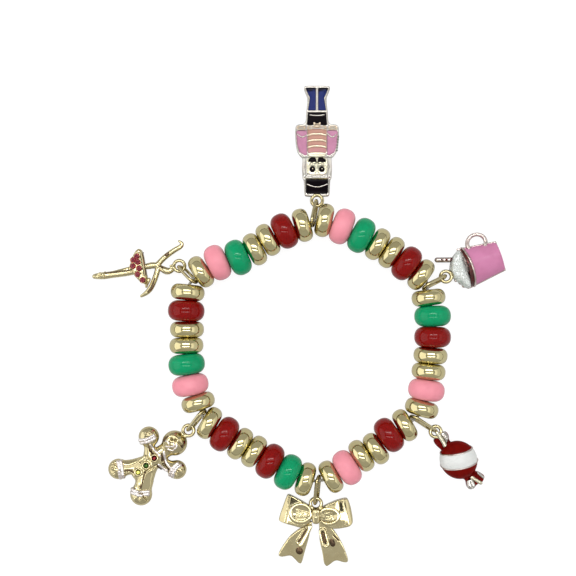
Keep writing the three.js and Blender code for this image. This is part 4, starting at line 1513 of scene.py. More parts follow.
@dataclass
class Mug(Charm):
    """A mug in relief, with a curved lip, glittering cream, a sugar cane and a ring handle."""

    station: Station = Station(40.2, 13.2, 19)
    low: Point = (-2.0, -5.6, 0)
    high: Point = (16.6, 9.4, 4.8)
    mouth: float = 7.3
    base: float = 16.3
    middle: float = 0.45
    mouth_radius: float = 5.4
    base_radius: float = 4.15
    flat: float = 0.8
    lip_arc: float = 21.8
    rim: float = 0.42
    cream: tuple = (
        (6.1, -5.0), (4.6, -5.0), (3.8, -4.3), (3.2, -3.1), (2.1, -1.7), (1.4, -0.1), (1.6, 1.3),
        (2.3, 2.8), (3.4, 4.4), (4.9, 5.4), (6.1, 5.9))
    scallops: tuple = ((5.0, -4.7), (3.95, -4.05), (3.35, -2.95), (2.45, -1.85), (1.75, -0.65))
    cane_from: Point = (-0.75, 5.05)
    cane_to: Point = (4.2, 3.4)
    cane_radius: float = 0.7
    berries: tuple = ((0.45, 4.67, 0.36), (1.62, 4.28, 0.46), (3.0, 3.82, 0.66))
    handle: tuple = (10.95, 5.9, 3.15, 1.95, 0.92)
    cocoa_width: tuple = (0.85, -0.065)
    back_height: float = 0.7
    back_setback: float = 1.2
    rim_wire: float = 0.3
    foot_height: float = 1.0
    scallop: tuple = (0.5, 1.15)
    handle_z: float = 1.2
    handle_groove: tuple = (0.12, 1.86, 0.14)
    inset: float = 0.1
    heap: tuple = (0.5, 3.5, 1.7, 1.3)
    cane_z: tuple = (1.5, 1.7)
    stripe: tuple = (0.15, 0.3)
    cane_bed: tuple = (1.6, 0.8)
    berry: tuple = (2.15, 0.85, 0.55)

    def lip(self, block: Block) -> Grid:
        """Return how far each point is beyond the curved lip."""
        centre = self.mouth - self.lip_arc
        return np.sqrt((block.x - centre) ** 2 + (block.y - self.middle) ** 2) - self.lip_arc + 0 * block.z

    def barrel(self, block: Block, grow: float) -> Grid:
        """Return the distance to the mug's tapering round body.

        Args:
            block: The block to measure in.
            grow: How much bigger it is made.

        Returns:
            The distance.
        """
        taper = (self.base_radius - self.mouth_radius) / (self.base - self.mouth)
        reach = self.mouth_radius + taper * (block.x - self.mouth)
        return (np.sqrt((block.y - self.middle) ** 2 + (block.z / self.flat) ** 2) - reach - grow) * STEEP

    def drink(self, block: Block) -> Grid:
        """Return how wide the cocoa shows: less at the handle's side."""
        return self.cocoa_width[0] + self.cocoa_width[1] * block.y

    def build(self) -> None:
        """Make the casting, the enamel, the cocoa, the cream and the cane."""
        self._frame()
        self.loop_piece("mug_loop", 2.6, 0.9)
        self._contents()
        self._cane()

    def _frame(self) -> None:
        """Make the casting: the rim, the foot of the cream, the back and the handle."""
        metal = self.block()
        lip = self.lip(metal)
        back = np.maximum(self.barrel(metal, self.inset), metal.z - self.back_height)
        metal.add(np.maximum(back, metal.x - self.base + 0 * lip))
        metal.keep(-self.back_setback - lip, 0.1)
        metal.add(np.maximum(self.barrel(metal, 0.05), np.abs(lip - self.rim / 2) - self.rim / 2), 0.06)
        edge = np.sqrt(self.barrel(metal, 0.0) ** 2 + (lip - self.rim / 2) ** 2)
        metal.add(np.maximum(edge - self.rim_wire, self.rim_wire - metal.z), 0.05)
        cream = metal.outline(rounded(self.cream))
        metal.add(np.maximum(metal.slab(cream, 0, self.foot_height, 0.2), lip + 0.2), 0.1)
        radius, top = self.scallop
        for at in self.scallops:
            metal.add(metal.relief(metal.near([at]) - radius, top, 0.25), 0.1)
        self._handle(metal)
        self.piece("mug_frame", metal, Look.ROSY, ["mug_casting"], "mug_casting")

    def _handle(self, metal: Block) -> None:
        """Add the ring handle, which has a groove near its inner edge.

        Args:
            metal: The casting.
        """
        at_x, at_y, outer, hole, squash = self.handle
        middle = (outer + hole) / 2
        reach = np.sqrt((metal.x - at_x) ** 2 + ((metal.y - at_y) / squash) ** 2)
        bow = np.sqrt((reach - middle) ** 2 + (metal.z - self.handle_z) ** 2)
        metal.add(bow - (outer - hole) / 2 + 0.02, 0.2)
        shift, height, radius = self.handle_groove
        metal.cut(np.sqrt((reach - middle + shift) ** 2 + (metal.z - height) ** 2) - radius, 0.06)

    def _contents(self) -> None:
        """Make the pink cup, the cocoa at its mouth and the glittering cream on top."""
        pink = self.block()
        pink.add(np.maximum(self.barrel(pink, -self.inset), 0.35 - pink.z))
        pink.keep(self.rim + 0.02 - self.lip(pink), 0.3)
        pink.keep(pink.x - self.base + 0.2, 0.4)
        self.piece("mug_body", pink, Look.MUG, ["mug_enamel"], "mug_enamel")

        cocoa = self.block()
        lip = self.lip(cocoa)
        cocoa.add(np.maximum(np.maximum(self.barrel(cocoa, -0.12), lip), -self.drink(cocoa) - lip))
        self.piece("mug_cocoa", cocoa, Look.COCOA)

        froth = self.block()
        heap = froth.dome(froth.outline(rounded(self.cream)), *self.heap)
        froth.add(np.maximum(heap, self.lip(froth) + self.drink(froth)), 0.1)
        froth.cut(froth.limb((*self.cane_from, *self.cane_bed), (*self.cane_to, *self.cane_bed)), 0.1)
        froth.cut(froth.near([(0, 0)]) - self.loop_outer - 0.1 + 0 * froth.z, 0.1)
        self.piece("mug_froth", froth, Look.CREAM, ["mug_cream"], "cream_glitter")

    def _cane(self) -> None:
        """Make the sugar cane, its pale stripe and its dots."""
        (low, high), (thinner, rise) = self.cane_z, self.stripe
        for name, look, drop, lift in (("mug_sugar_cane", Look.BRONZE, 0.0, 0.0),
                                       ("mug_cane_stripe", Look.ROSY, thinner, rise)):
            cane, radius = self.block(), self.cane_radius - drop
            cane.add(cane.limb((*self.cane_from, low + lift, radius), (*self.cane_to, high + lift, radius)))
            self.piece(name, cane, look)
        dots = self.block()
        height, oval, rise = self.berry
        for x, y, radius in self.berries:
            dots.add(dots.ball((x, y, height), (radius, radius * oval, rise)))
        self.piece("mug_cane_sugar", dots, Look.COCOA)


@dataclass
class Candy(Charm):
    """A wrapped round sweet: red caps, a glittering band and two twisted ends with foil folds."""

    station: Station = Station(37.4, -29.0, -51)
    low: Point = (-2.0, -5.2, 0)
    high: Point = (19.2, 5.2, 6.2)
    middle: Point = (9.8, 0.0, 2.6)
    radii: Point = (5.35, 5.0, 3.4)
    turn: float = -28.0
    band_from: tuple = (15.0, -2.72)
    band_to: tuple = (23.0, 0.73)
    near_tail: tuple = ((6.2, -1.7), (4.7, -2.0), (2.7, -2.3), (1.5, -1.9), (1.2, 0), (1.7, 2.3), (3.0, 2.2),
                        (4.1, 1.4), (6.2, 1.5))
    far_tail: tuple = (
        (13.6, -3.0), (15.4, -1.9), (17.2, -2.9), (18.2, -2.7), (18.6, -1.4), (18.2, -0.3), (18.6, 0.6),
        (18.7, 1.4), (18.2, 2.4), (17.6, 2.8), (16.2, 2.4), (15.2, 1.5), (13.6, 3.0))
    near_fold: tuple = ((0.9, 0.7), (1.2, 1.7), (2.2, 2.2), (3.3, 1.9), (4.1, 1.0), (4.9, -0.2), (3.6, 0.3))
    far_fold: tuple = ((15.4, -1.7), (16.1, -2.2), (17.1, -2.85), (18.2, -2.6), (18.6, -1.4), (17.9, -0.5),
                       (15.9, -0.2))
    outer_fold: tuple = ((15.3, 1.5), (15.9, 2.3), (17.5, 2.8), (18.1, 2.5), (18.4, 2.0), (16.4, 1.5))
    grooves: tuple = (((1.5, 1.1), (2.7, 1.3), (3.8, 0.7)), ((16.4, -1.3), (17.4, -1.6), (18.0, -1.9)))
    strips: tuple = (((0.4, 0.1), (2.6, -0.1), (4.9, -0.45)), ((15.7, -0.2), (17.0, 0.2), (18.5, 0.75)))
    strip_sizes: tuple = (0.5, 0.42)
    pleat: tuple = (0.22, 9.0)
    tail_top: float = 2.4
    tail_starts: tuple = (6.0, 14.4)
    shell: float = 0.4
    edge_radius: float = 0.2
    foil_pleat: tuple = (0.16, 2.2)
    foil_waves: tuple = (-0.8, 0.9, 0.9)
    foil_lean: float = 0.12
    foil: tuple = (1.2, 3.1, 0.7, 0.6)
    groove: tuple = (0.12, 0.05)
    strip_z: float = 2.85
    strip_flat: float = 0.8

    def across(self, block: Block, tip: float) -> Grid:
        """Return how far each point lies across the band.

        Args:
            block: The block to measure in.
            tip: How far that direction leans down, in degrees.

        Returns:
            The distance from the middle.
        """
        turn, lean = math.radians(self.turn), math.radians(tip)
        way = (math.cos(lean) * math.cos(turn), math.cos(lean) * math.sin(turn), -math.sin(lean))
        return sum((axis - at) * w for axis, at, w in zip((block.x, block.y, block.z), self.middle, way))

    def band(self, block: Block) -> tuple[Grid, Grid]:
        """Return how far each point lies beyond the band's near edge, and short of its far edge."""
        return (self.across(block, self.band_from[0]) - self.band_from[1],
                self.band_to[1] - self.across(block, self.band_to[0]))

    def round(self, block: Block, grow: float) -> Grid:
        """Return the distance to the sweet's round middle, made bigger by `grow`."""
        return block.ball(self.middle, [r + grow for r in self.radii])

    def build(self) -> None:
        """Make the caps and ends, the band, its edges and the foil."""
        red = self.block()
        red.add(self.round(red, 0.0))
        depth, folds = self.pleat
        for ring, start in zip((self.near_tail, self.far_tail), self.tail_starts):
            pleat = depth * np.cos(folds * np.arctan2(red.y, np.abs(red.x - start) + 0.8))
            red.add(red.relief(red.outline(rounded(ring)), self.tail_top + pleat, 0.3), 0.25)
        near, far = self.band(red)
        red.cut(np.maximum(np.maximum(-near, -far), -self.round(red, -self.shell)), 0.1)
        self.piece("candy_wrapper", red, Look.CANDY, ["candy_casting"], "candy_enamel")
        self.loop_piece("candy_loop", 2.0, 0.8)

        band, edging = self.block(), self.block()
        near, far = self.band(band)
        band.add(np.maximum(self.round(band, 0.02), -np.minimum(near, far) + 0.02))
        band.cut(self.round(band, -0.5))
        self.piece("candy_glitter", band, Look.BAND, ["candy_band"], "white_glitter")
        skin = self.round(edging, 0.0)
        for edge in (near, far):
            edging.add(np.sqrt(edge ** 2 + (skin - 0.06) ** 2) - self.edge_radius)
        self.piece("candy_edging", edging, Look.ROSY)
        self._foil()

    def _foil(self) -> None:
        """Make the pale foil folds at both ends, and the bright strip on each."""
        foil, strips = self.block(), self.block()
        (depth, folds), (bottom, top, run, drop) = self.foil_pleat, self.foil
        rings = (self.near_fold, self.far_fold, self.outer_fold)
        for ring, wave, share in zip(rings, self.foil_waves, (1, 0, 1)):
            pleat = depth * np.cos(foil.y * folds + foil.x * wave) - self.foil_lean * foil.y
            foil.add(foil.dome(foil.outline(rounded(ring)), bottom, top + pleat * share, run, drop))
        for line in self.grooves:
            foil.cut(foil.chain(foil.drape(line, *self.groove)), 0.05)
        self.piece("candy_foil", foil, Look.PALE)
        for line, size in zip(self.strips, self.strip_sizes):
            strips.add(strips.chain([(x, y, self.strip_z, size) for x, y in eased(line)], self.strip_flat))
        self.piece("candy_strips", strips, Look.FACE)


@dataclass
class Bow(Charm):
    """A cast ribbon bow: bent loops with hollow middles, a knot, and flat tails with folds."""

    station: Station = Station(4.8, -48.6, -90)
    low: Point = (-2.8, -10.6, 0)
    high: Point = (17.6, 10.5, 4.2)
    cell: float = 0.135
    left: tuple = ((0.8, -1.4), (-0.5, -3.5), (-2.5, -7.3), (-2.2, -7.9), (4.2, -10.15), (4.9, -9.9),
                   (6.1, -5.6), (6.6, -3.8), (5.2, -1.9), (3.9, -1.0))
    right: tuple = ((3.7, 1.0), (5.6, 1.9), (6.8, 4.4), (6.7, 6.5), (6.2, 9.1), (5.4, 9.95), (4.3, 10.1),
                    (0.9, 9.5), (-1.1, 8.8), (-1.5, 8.2), (-0.7, 5.2), (1.2, 1.2))
    left_tail: tuple = ((4.5, -0.8), (6.5, -3.5), (7.5, -5.2), (9.0, -7.1), (11.2, -8.7), (13.5, -10.1),
                        (14.4, -10.2), (14.7, -9.3), (14.2, -6.8), (15.3, -5.7), (16.3, -4.8), (16.6, -4.1),
                        (15.9, -3.7), (13.2, -3.0), (9.4, -1.9), (7.2, -1.5))
    right_tail: tuple = ((3.9, 0.8), (8.0, 1.0), (10.2, 1.0), (13.5, 1.8), (16.5, 2.2), (17.3, 2.9),
                         (17.0, 3.5), (15.5, 5.4), (16.2, 7.6), (16.2, 8.6), (15.4, 8.9), (11.8, 7.6),
                         (8.9, 6.0), (6.9, 4.6))
    tail_top: float = 1.8
    tail_lean: float = 0.044
    tail_from: float = 6.0
    left_roll: tuple = ((6.3, -1.7), (8.4, -2.6), (11.2, -4.1))
    roll: tuple = (0.7, 2.3, 8.8, 0.12)
    folds: tuple = ((((6.6, -2.4), (8.6, -3.5), (10.6, -4.75)), 8.6, (0.6, 2.1, 0.1), (0.26, 1.95, 0.03)),
                    (((7.7, 1.8), (9.4, 2.15), (11.0, 2.65)), 9.4, (1.0, 2.2, 0.12), (0.5, 1.85, 0.04)))
    right_crease: tuple = ((8.7, 4.8), (10.1, 6.2))
    crease: tuple = (0.13, 0.5)
    # Dark marks laid as painted shade in the folds and at a tail's end: each a width and the points of a
    # line.
    shade_marks: tuple = ((1.35, (12.7, -4.65), (13.0, -4.4)), (0.85, (10.2, 4.3), (11.2, 4.65)),
                     (0.34, (7.2, -2.75), (8.6, -3.5), (10.4, -4.65)), (0.45, (8.2, 1.95), (10.6, 2.5)),
                     (0.3, (8.9, 5.0), (10.1, 6.2)))
    loop_face: float = 3.05
    dark_slope: float = 0.12
    bright_slope: float = 0.03
    level_at: float = 4.4
    bend_radius: float = 59.0
    ovals: tuple = ((2.45, -4.15, 2.05, 2.4, 0.3), (3.3, 3.35, 1.75, 2.35, 0.75))
    knot: tuple = ((1.3, -1.2), (5.4, -1.1), (5.4, 1.1), (1.3, 1.2))
    knot_top: tuple = (3.85, 0.07, 2.3, 0.3)
    knot_folds: tuple = (-0.5, 0.05, 0.55)
    knot_fold: tuple = (0.16, 0.13)
    left_hem: tuple = (7.1, 0.16, 2.2)
    left_drop: tuple = (0.52, 0.3, 0.16)
    right_hem: tuple = (7.75, 0.19, 1.2)
    right_drop: tuple = (0.36, 0.85, 1.1)
    facet: tuple = (5.3, 7.7)
    facet_slopes: tuple = (0.018, 0.03, 4.3)
    streak: tuple = ((-0.2, 6.75), (1.6, 7.0))
    streak_half: float = 0.62
    streak_slope: tuple = (-0.22, 0.105, 0.8)
    oval_rim: tuple = (0.12, 0.012, 0.78)
    oval_fold: tuple = (0.22, 0.15)

    def build(self) -> None:
        """Make the whole bow as one casting, and its painted shade."""
        gold, loops = self.block(), self.block()
        self._tails(gold)
        for ring in (self.left, self.right):
            loops.add(loops.relief(loops.outline(rounded(ring)), self._loop_height(loops), 0.2))
        gold.add(loops.form, 0.1)
        (top, slope, start, bend), (depth, width) = self.knot_top, self.knot_fold
        height = top - slope * np.maximum(gold.x - start, 0) - bend * gold.y ** 2
        for at in self.knot_folds:
            height = height - depth * np.exp(-(gold.near([(1.2, at * 0.7), (3.2, at)]) / width) ** 2)
        gold.add(gold.relief(gold.outline(rounded(self.knot)), height, 0.5), 0.1)
        self.hang(gold, 1.8, 1.1)
        self.paint_shade("bow_painted_shade", gold, self.shade_marks)
        self.piece("bow_casting", gold, Look.CAST_GOLD, ["bow_charm"], "charm_gold")

    def _tails(self, gold: Block) -> None:
        """Add the flat tails, which lean towards their tips, and their folds.

        Args:
            gold: The casting.
        """
        lean = self.tail_top - self.tail_lean * (gold.x - self.tail_from)
        for ring in (self.left_tail, self.right_tail):
            gold.add(gold.relief(gold.outline(rounded(ring)), lean, 0.15))
        half, top, middle, bend = self.roll
        roll = gold.near(eased(self.left_roll))
        height = top + self.bright_slope * (gold.x - middle) - bend * roll ** 2
        gold.add(gold.relief(roll - half, height, 0.1))
        for line, middle, (half, top, edge), (inner, floor, soft) in self.folds:
            fold, out = gold.near(eased(line)), gold.x - middle
            gold.add(gold.relief(fold - half, top + self.bright_slope * out, edge))
            gold.sink(fold - inner, floor + self.dark_slope * out, soft)
        gold.sink(gold.near(self.right_crease) - self.crease[0], lean - self.crease[1])

    def _fall(self, x: Grid, y: Grid) -> Grid:
        """Return how far the loops' ends turn down: a groove at the left, a roll at the right.

        Args:
            x: The places along X.
            y: The places along Y.

        Returns:
            The depth below the loops' face.
        """
        (place, slant, start), (slope, depth, width) = self.left_hem, self.left_drop
        left = -y - place - slant * (x + start)
        fall = slope * np.maximum(left, 0) + depth * np.exp(-(left / width) ** 2)
        (place, slant, start), (slope, run, steep) = self.right_hem, self.right_drop
        right = y - place - slant * (x + start)
        return fall + slope * np.clip(right, 0, run) + steep * np.maximum(right - run, 0)

    def _loop_height(self, block: Block) -> Grid:
        """Return the height of the loops' face: slightly bent, with turned ends and hollows.

        Args:
            block: The block to measure in.

        Returns:
            The height over each column.
        """
        x, y = block.x, block.y
        height = self.loop_face - (x - self.level_at) ** 2 / (2 * self.bend_radius) - self._fall(x, y)
        up, down, ridge = self.facet_slopes
        face = self.loop_face + np.minimum(up * (x - ridge), down * (ridge - x))
        start, end = self.facet
        height = height + (face - height) * np.clip((y - start) / 0.2, 0, 1) * np.clip((end - y) / 0.1, 0, 1)
        streak = np.clip((self.streak_half - block.near(self.streak)) / 0.1, 0, 1)
        drop, slope, middle = self.streak_slope
        height = height + (self.loop_face + drop + slope * (x - middle) - height) * streak
        (lift, lean, wide), (crest, width) = self.oval_rim, self.oval_fold
        for at_x, at_y, half_x, half_y, depth in self.ovals:
            q = np.hypot((x - at_x) / half_x, (y - at_y) / half_y)
            out = (q - 1) * (half_x + half_y) / 2
            level = self.loop_face + lift + lean * (x - at_x)
            hollow = level - lift - depth * (1 - q * q) - 0.1 * depth * (x - at_x)
            way = -1 if at_y > 0 else 1
            for i in (-2, -1, 0, 1, 2):
                far = (at_x + 0.42 * i, at_y - way * half_y * 0.45)
                fold = block.near([(3.2 + 0.15 * i, -way * 0.9), far])
                hollow = hollow + crest * np.exp(-(fold / width) ** 2)
            height = height + (level - height) * np.clip((wide - out) / 0.08, 0, 1)
            height = height + (hollow - height) * np.clip(0.5 - out / 0.15, 0, 1)
        return height


@dataclass
class Gingerbread(Charm):
    """A plump cast biscuit figure with icing ropes, a piped face and three stones."""

    station: Station = Station(-29.9, -28.7, -139)
    low: Point = (-2.0, -8.9, 0)
    high: Point = (24.4, 9.1, 4.9)
    smoothing: int = 8
    flat: float = 0.72
    head: Point = (5.1, 0.1, 3.42)
    face: Point = (5.6, -0.4, 2.3)
    trunk: tuple = ((7.5, 0, 1.7, 2.0), (11.6, -0.3, 1.7, 2.3), (14.6, -0.1, 1.7, 2.5), (17.6, 0, 1.7, 2.2))
    limbs: tuple = ((12.6, -1.4, 9.3, -5.8, 2.0, 1.35, 2.8), (11.8, 0.6, 9.4, 6.0, 2.0, 1.4, 2.6),
                    (15.8, -1.2, 21.3, -4.6, 2.3, 1.9, 2.8), (15.2, 0.6, 21.2, 4.7, 2.4, 2.3, 3.0))
    cuffs: tuple = (
        ((11.7, -6.3), (11.0, -5.8), (9.5, -5.1), (7.9, -4.85)),
        ((19.6, -6.0), (20.1, -5.0), (20.7, -4.1), (21.4, -3.0), (21.9, -2.2)),
        ((22.2, 2.2), (21.9, 2.8), (21.2, 4.1), (20.0, 5.1), (19.3, 5.6)),
        ((7.8, 5.15), (8.9, 5.1), (10.5, 5.5), (11.5, 6.2)))
    caps: tuple = ((9.15, -7.1), (8.1, -6.6), (8.0, -5.8), (21.3, -6.7), (22.2, -5.7), (23.0, -4.3),
                   (23.3, 4.3), (22.1, 5.5), (21.0, 6.2), (9.3, 6.5), (8.5, 7.0), (10.1, 6.9))
    crests: tuple = (((20.0, -3.9), (16.8, -2.5), (13.6, -2.3)), ((20.6, 2.4), (18.8, 1.2), (17.2, 0.2)),
                     ((10.3, -5.0), (11.4, -2.9), (12.6, -1.5)))
    creases: tuple = (((20.1, -3.1), (18.8, -2.0), (18.9, -0.6)), ((16.4, 0.8), (18.0, 2.0), (19.6, 3.5)),
                      ((10.8, -4.2), (11.4, -2.4), (11.1, -0.9)), ((9.4, 0.1), (10.7, 1.6)),
                      ((11.1, 2.2), (11.0, 4.4)), ((16.4, 0.8), (14.1, 1.2), (12.6, 1.4)))
    icing_lines: tuple = (((10.2, -4.0), (10.5, -2.4), (10.1, -0.8), (10.3, 0.2)),
                          ((8.6, -0.2), (9.9, 1.7), (10.3, 3.4), (10.0, 4.7)),
                          ((12.0, 1.6), (11.9, 3.2), (11.4, 4.5)))
    # Dark marks laid beside the icing and along the creases as painted shade: each a width and the points of
    # a line.
    shade_marks: tuple = ((0.28, (10.9, -4.0), (11.3, -2.4), (11.0, -0.9)), (0.75, (10.0, 0.6), (10.8, 1.5)),
                     (0.26, (9.2, 0.6), (10.6, 2.1), (10.9, 3.4), (10.7, 4.6)),
                     (0.24, (12.6, 1.6), (12.5, 3.2), (12.0, 4.3)),
                     (0.22, (20.0, -3.0), (18.8, -2.0), (18.6, -0.9)),
                     (0.24, (16.1, 0.7), (18.2, 2.1), (19.9, 3.2)),
                     (0.2, (3.0, 1.4), (3.4, 2.0), (4.2, 2.3)), (0.2, (6.9, -2.2), (6.0, -2.5), (5.0, -2.5)))
    leg_ridge: tuple = ((16.05, 0.68), (20.25, 3.44))
    leg_planes: tuple = ((0.05, 0.057), (0.03, 0.034))
    smile: tuple = ((3.9, 0.8), (3.75, 1.5), (3.95, 2.15))
    eyes: tuple = ((4.15, -0.4), (4.75, -1.2))
    curls: tuple = (((7.2, -0.9), (6.7, -0.2), (6.1, 0.1), (5.6, 0.6)),
                    ((6.3, -2.0), (5.8, -1.3), (6.2, -0.7)),
                    ((4.6, 0.8), (5.2, 1.3), (6.0, 1.2)), ((7.3, 0.0), (7.0, 0.8), (6.4, 1.3)),
                    ((4.9, -0.3), (5.3, 0.2), (5.0, 0.6)))
    stones: tuple = ((11.75, -0.45), (14.75, -0.4), (17.6, -0.45))
    stone_size: float = 0.72
    setting: tuple = (1.15, 0.25, 0.5)
    level: float = 1.7
    head_level: float = 1.8
    belly: tuple = (2.2, (1.75, 1.75, 1.5))
    crest: tuple = (0.5, -0.1)
    crease: tuple = (0.24, -0.05)
    cap: float = 0.42
    face_top: float = 3.92
    face_tilt: tuple = (0.0325, 0.0375)
    eye_hole: tuple = (4.1, (0.42, 0.42, 0.5))
    smile_size: tuple = (0.2, 0.02)
    leg_span: tuple = (15.6, 21.0)
    leg_middle: Point = (18.0, 2.0)
    leg_tops: tuple = (3.2, 3.25)
    rope: tuple = (0.44, 0.42, 0.4, 0.2)
    icing_size: tuple = (0.3, 0.08)
    curl_size: tuple = (0.15, 0.02)

    def build(self) -> None:
        """Make the casting, the icing and the stones."""
        gold = self.block()
        gold.smoothing = self.smoothing
        self._body(gold)
        self._planes(gold)
        for x, y in self.caps:
            gold.add(gold.ball((x, y, gold.top(x, y)), self.cap), 0.12)
        self.paint_shade("gingerbread_painted_shade", gold, self.shade_marks)
        icing = self._icing(gold)
        height, size = self.eye_hole
        for at in self.eyes:
            gold.cut(gold.ball((*at, height), size), 0.08)
        gold.cut(gold.chain(gold.drape(self.smile, *self.smile_size)), 0.06)
        collar, rise, depth = self.setting
        for x, y in self.stones:
            gold.add(gold.relief(gold.near([(x, y)]) - collar, gold.top(x, y) + rise, 0.2), 0.1)
            gold.sink(gold.near([(x, y)]) - self.stone_size, gold.top(x, y) - depth)
        self.hang(gold, 3.2, 1.0, 0.6)
        tops = [gold.top(x + 0.9, y) for x, y in self.stones]
        self.piece("gingerbread_casting", gold, Look.CAST_GOLD, ["gingerbread_charm"], "charm_gold")
        self.piece("gingerbread_icing", icing, Look.SILVERY)
        gem = Gem(self.stone_size, 0.4)
        looks = {"red": Look.RED_STONE, "green": Look.GREEN_STONE, "lime": Look.LIME_STONE}
        for (name, look), (x, y), top in zip(looks.items(), self.stones, tops):
            make_piece(f"gingerbread_stone_{name}", gem.shape((x, y, top - rise)), look, self.station,
                       smooth=False)

    def _body(self, gold: Block) -> None:
        """Add the head, trunk and limbs, their crests and creases, and the face.

        Args:
            gold: The casting.
        """
        x, y, radius = self.head
        gold.add(gold.ball((x, y, self.head_level), (radius, radius, radius * self.flat)))
        gold.add(gold.chain(self.trunk, self.flat), 0.6)
        for fx, fy, tx, ty, root, waist, knob in self.limbs:
            rows = ((fx, fy, root), ((fx + tx) / 2, (fy + ty) / 2, waist), (tx, ty, knob * 0.9))
            gold.add(gold.chain([(x, y, self.level, radius) for x, y, radius in rows], self.flat, 0.5), 0.6)
            gold.add(gold.ball((tx, ty, self.level), (knob, knob, knob * self.flat)), 0.3)
        height, size = self.belly
        gold.add(gold.ball((*self.stones[2], height), size), 0.2)
        for line in self.crests:
            gold.add(gold.chain(gold.drape(line, *self.crest)), 0.25)
        for line in self.creases:
            gold.cut(gold.chain(gold.drape(line, *self.crease)), 0.06)
        x, y, radius = self.face
        tilt = self.face_tilt[0] * (gold.x - x) + self.face_tilt[1] * (gold.y - y)
        gold.add(gold.relief(gold.near([(x, y)]) - radius, self.face_top - tilt, 0.25), 0.1)

    def _planes(self, gold: Block) -> None:
        """Flatten both sides of the lower leg's crease.

        Args:
            gold: The casting.
        """
        (ax, ay), (bx, by) = self.leg_ridge
        (start, end), (first, second), (x, y) = self.leg_span, self.leg_tops, self.leg_middle
        beside = ((ax - bx) * (gold.y - ay) - (ay - by) * (gold.x - ax)) / -math.dist(*self.leg_ridge)
        leg = np.maximum(start - gold.x, gold.x - end)
        down, up = (way[0] * (gold.x - x) + way[1] * (gold.y - y) for way in self.leg_planes)
        gold.sink(np.maximum(leg, 0.12 - beside), first - down - 0.1 * beside, 0.12)
        gold.sink(np.maximum(leg, beside + 0.05), second + up, 0.1)

    def _icing(self, gold: Block) -> Block:
        """Pipe the icing: thick knotted ropes at the cuffs, and thin lines.

        Args:
            gold: The casting that it lies on.

        Returns:
            The icing's block.
        """
        icing = self.block()
        thick, step, apart, swell = self.rope
        for cuff in self.cuffs:
            reach = math.dist(cuff[0], cuff[-1])
            side = ((cuff[0][1] - cuff[-1][1]) / reach, (cuff[-1][0] - cuff[0][0]) / reach)
            for i, (x, y, _, radius) in enumerate(gold.drape(cuff, thick, step=step)):
                for way in (apart, -apart):
                    at = (x + way * side[0], y + way * side[1])
                    size = radius + swell * way * (-1) ** i
                    icing.add(icing.ball((*at, gold.top(*at) + 0.1), size), 0.08)
        icing.lay(self.icing_lines, self.icing_size, 0.1, gold)
        icing.lay(self.curls, self.curl_size, 0.08, gold)
        return icing


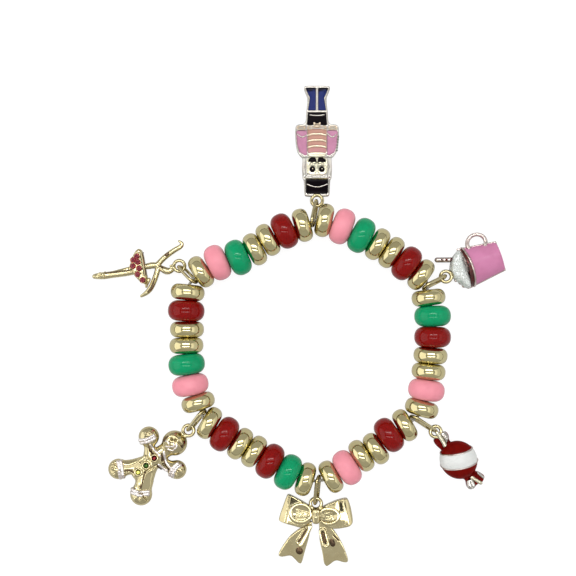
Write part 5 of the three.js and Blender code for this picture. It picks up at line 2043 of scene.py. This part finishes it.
@dataclass
class Ballerina(Charm):
    """A cast dancer in an arabesque, with stones on the skirt."""

    station: Station = Station(-32.4, 16.1, 187)
    low: Point = (-2.3, -7.3, 0)
    high: Point = (24.4, 7.5, 4.0)
    cell: float = 0.105
    smoothing: int = 16
    leg: tuple = ((11.0, -0.3, 1.5, 0.9), (14.4, 0.15, 1.3, 0.85), (18.5, 0.1, 1.2, 0.88),
                  (20.9, 0.1, 1.2, 0.98), (22.7, 0.0, 1.2, 0.8), (23.4, 0.0, 1.2, 0.6))
    other_leg: tuple = ((12.4, -0.9, 1.3, 0.75), (15.6, -0.75, 1.2, 0.5), (18.6, -0.35, 1.2, 0.45),
                        (20.9, -0.1, 1.2, 0.45))
    body: tuple = (
        (9.9, -0.9, 1.5, 0.62), (8.3, -1.0, 1.5, 0.85), (7.0, -1.1, 1.5, 0.85), (5.9, -0.7, 1.5, 0.7),
        (5.2, -0.2, 1.5, 0.6), (4.5, 0.4, 1.6, 0.85), (3.6, 1.0, 1.7, 0.95), (2.6, 1.05, 1.8, 0.75),
        (2.0, 0.8, 1.8, 0.5))
    up_arm: tuple = (
        (6.0, -1.0, 1.5, 0.74), (4.1, -2.6, 1.4, 0.72), (2.7, -3.5, 1.3, 0.7), (0.8, -4.5, 1.3, 0.68),
        (-1.0, -5.2, 1.2, 0.62), (-1.5, -5.9, 1.2, 0.46), (-1.1, -6.5, 1.2, 0.32), (-0.6, -6.8, 1.2, 0.22))
    down_arm: tuple = ((5.8, -0.2, 1.5, 0.74), (6.7, 1.9, 1.4, 0.74), (7.8, 4.0, 1.3, 0.74),
                       (8.8, 5.4, 1.2, 0.72), (10.0, 6.3, 1.2, 0.62), (11.4, 6.9, 1.1, 0.34))
    drape: tuple = ((8.7, 2.6, 1.2, 0.45), (9.3, 3.5, 1.2, 0.45), (9.7, 4.5, 1.1, 0.32))
    tutu: tuple = (
        (10.4, -6.1), (9.6, -5.5), (9.35, -4.0), (9.25, -1.7), (9.15, 0.3), (9.0, 2.5), (9.5, 3.8),
        (10.2, 3.75), (11.6, 2.5), (12.7, 0.6), (13.3, -1.3), (13.0, -3.0), (12.1, -4.5), (11.3, -5.6))
    stones: tuple = ((11.07, -3.98), (11.04, -2.45), (12.18, -3.1), (12.5, -1.5), (10.85, -0.65), (11.5, 0.9),
                     (10.3, 2.6))
    # Dark marks laid along the limbs and the skirt's edge as painted shade: each a width and the points of a
    # line.
    shade_marks: tuple = ((0.34, (2.6, -3.75), (3.3, -3.3)), (0.16, (20.4, -0.55), (14.4, -0.45), (12.9, -0.6)),
                     (0.16, (7.0, 2.4), (8.2, 4.9), (9.4, 6.1)), (0.16, (4.4, 0.0), (5.4, -0.6)),
                     (0.16, (9.5, -5.0), (9.35, -2.0), (9.3, 1.5)))
    ribbons: tuple = (((20.3, -0.8), (20.9, -0.2), (20.7, 0.9)), ((20.9, -0.2), (22.0, 0.35), (22.9, 0.3)),
                      ((21.6, -0.75), (22.3, -0.3), (22.9, 0.3)))
    stone_size: float = 0.78
    stone_level: float = 2.75
    stone_twist: float = 0.4
    setting: tuple = (0.92, 2.9, 2.3)
    tutu_top: tuple = (2.88, 0.035)
    tutu_edge: tuple = (0.9, 0.8)
    ribbon: tuple = (0.2, 0.02)

    def build(self) -> None:
        """Make the casting, its painted shade and the stones."""
        gold = self.block()
        gold.smoothing = self.smoothing
        for rows in (self.leg, self.other_leg, self.body, self.up_arm, self.down_arm, self.drape):
            gold.add(gold.chain(eased(rows), soft=0.12), 0.2)
        skirt = gold.outline(rounded(self.tutu))
        top, lean = self.tutu_top
        gold.add(gold.dome(skirt, 0, top - lean * (gold.y + 1), *self.tutu_edge), 0.2)
        for rows in [gold.drape(line, *self.ribbon) for line in self.ribbons]:
            gold.add(gold.chain(rows), 0.06)
        collar, top, floor = self.setting
        for at in self.stones:
            gold.add(gold.relief(gold.near([at]) - collar, top, 0.15), 0.06)
            gold.sink(gold.near([at]) - self.stone_size + 0.02, floor)
        self.hang(gold, 2.6, 0.6, 1.0)
        self.paint_shade("ballerina_painted_shade", gold, self.shade_marks)
        self.piece("ballerina_casting", gold, Look.CAST_GOLD, ["ballerina_charm"], "charm_gold")
        gem = Gem(self.stone_size, 0.5)
        for i, (x, y) in enumerate(self.stones):
            stone = gem.shape((x, y, self.stone_level), self.stone_twist * i)
            make_piece(f"ballerina_stone_{i + 1}", stone, Look.ROSE_STONE, self.station, smooth=False)


# ---- the whole ----
def main() -> None:
    """Build the studio and every piece."""
    logging.basicConfig(level=logging.INFO, format="%(name)s: %(message)s")
    Studio().build()
    for part in (BeadString(), JumpRings(), Nutcracker(), Mug(), Candy(), Bow(), Gingerbread(), Ballerina()):
        part.build()


if __name__ == "__main__":
    main()
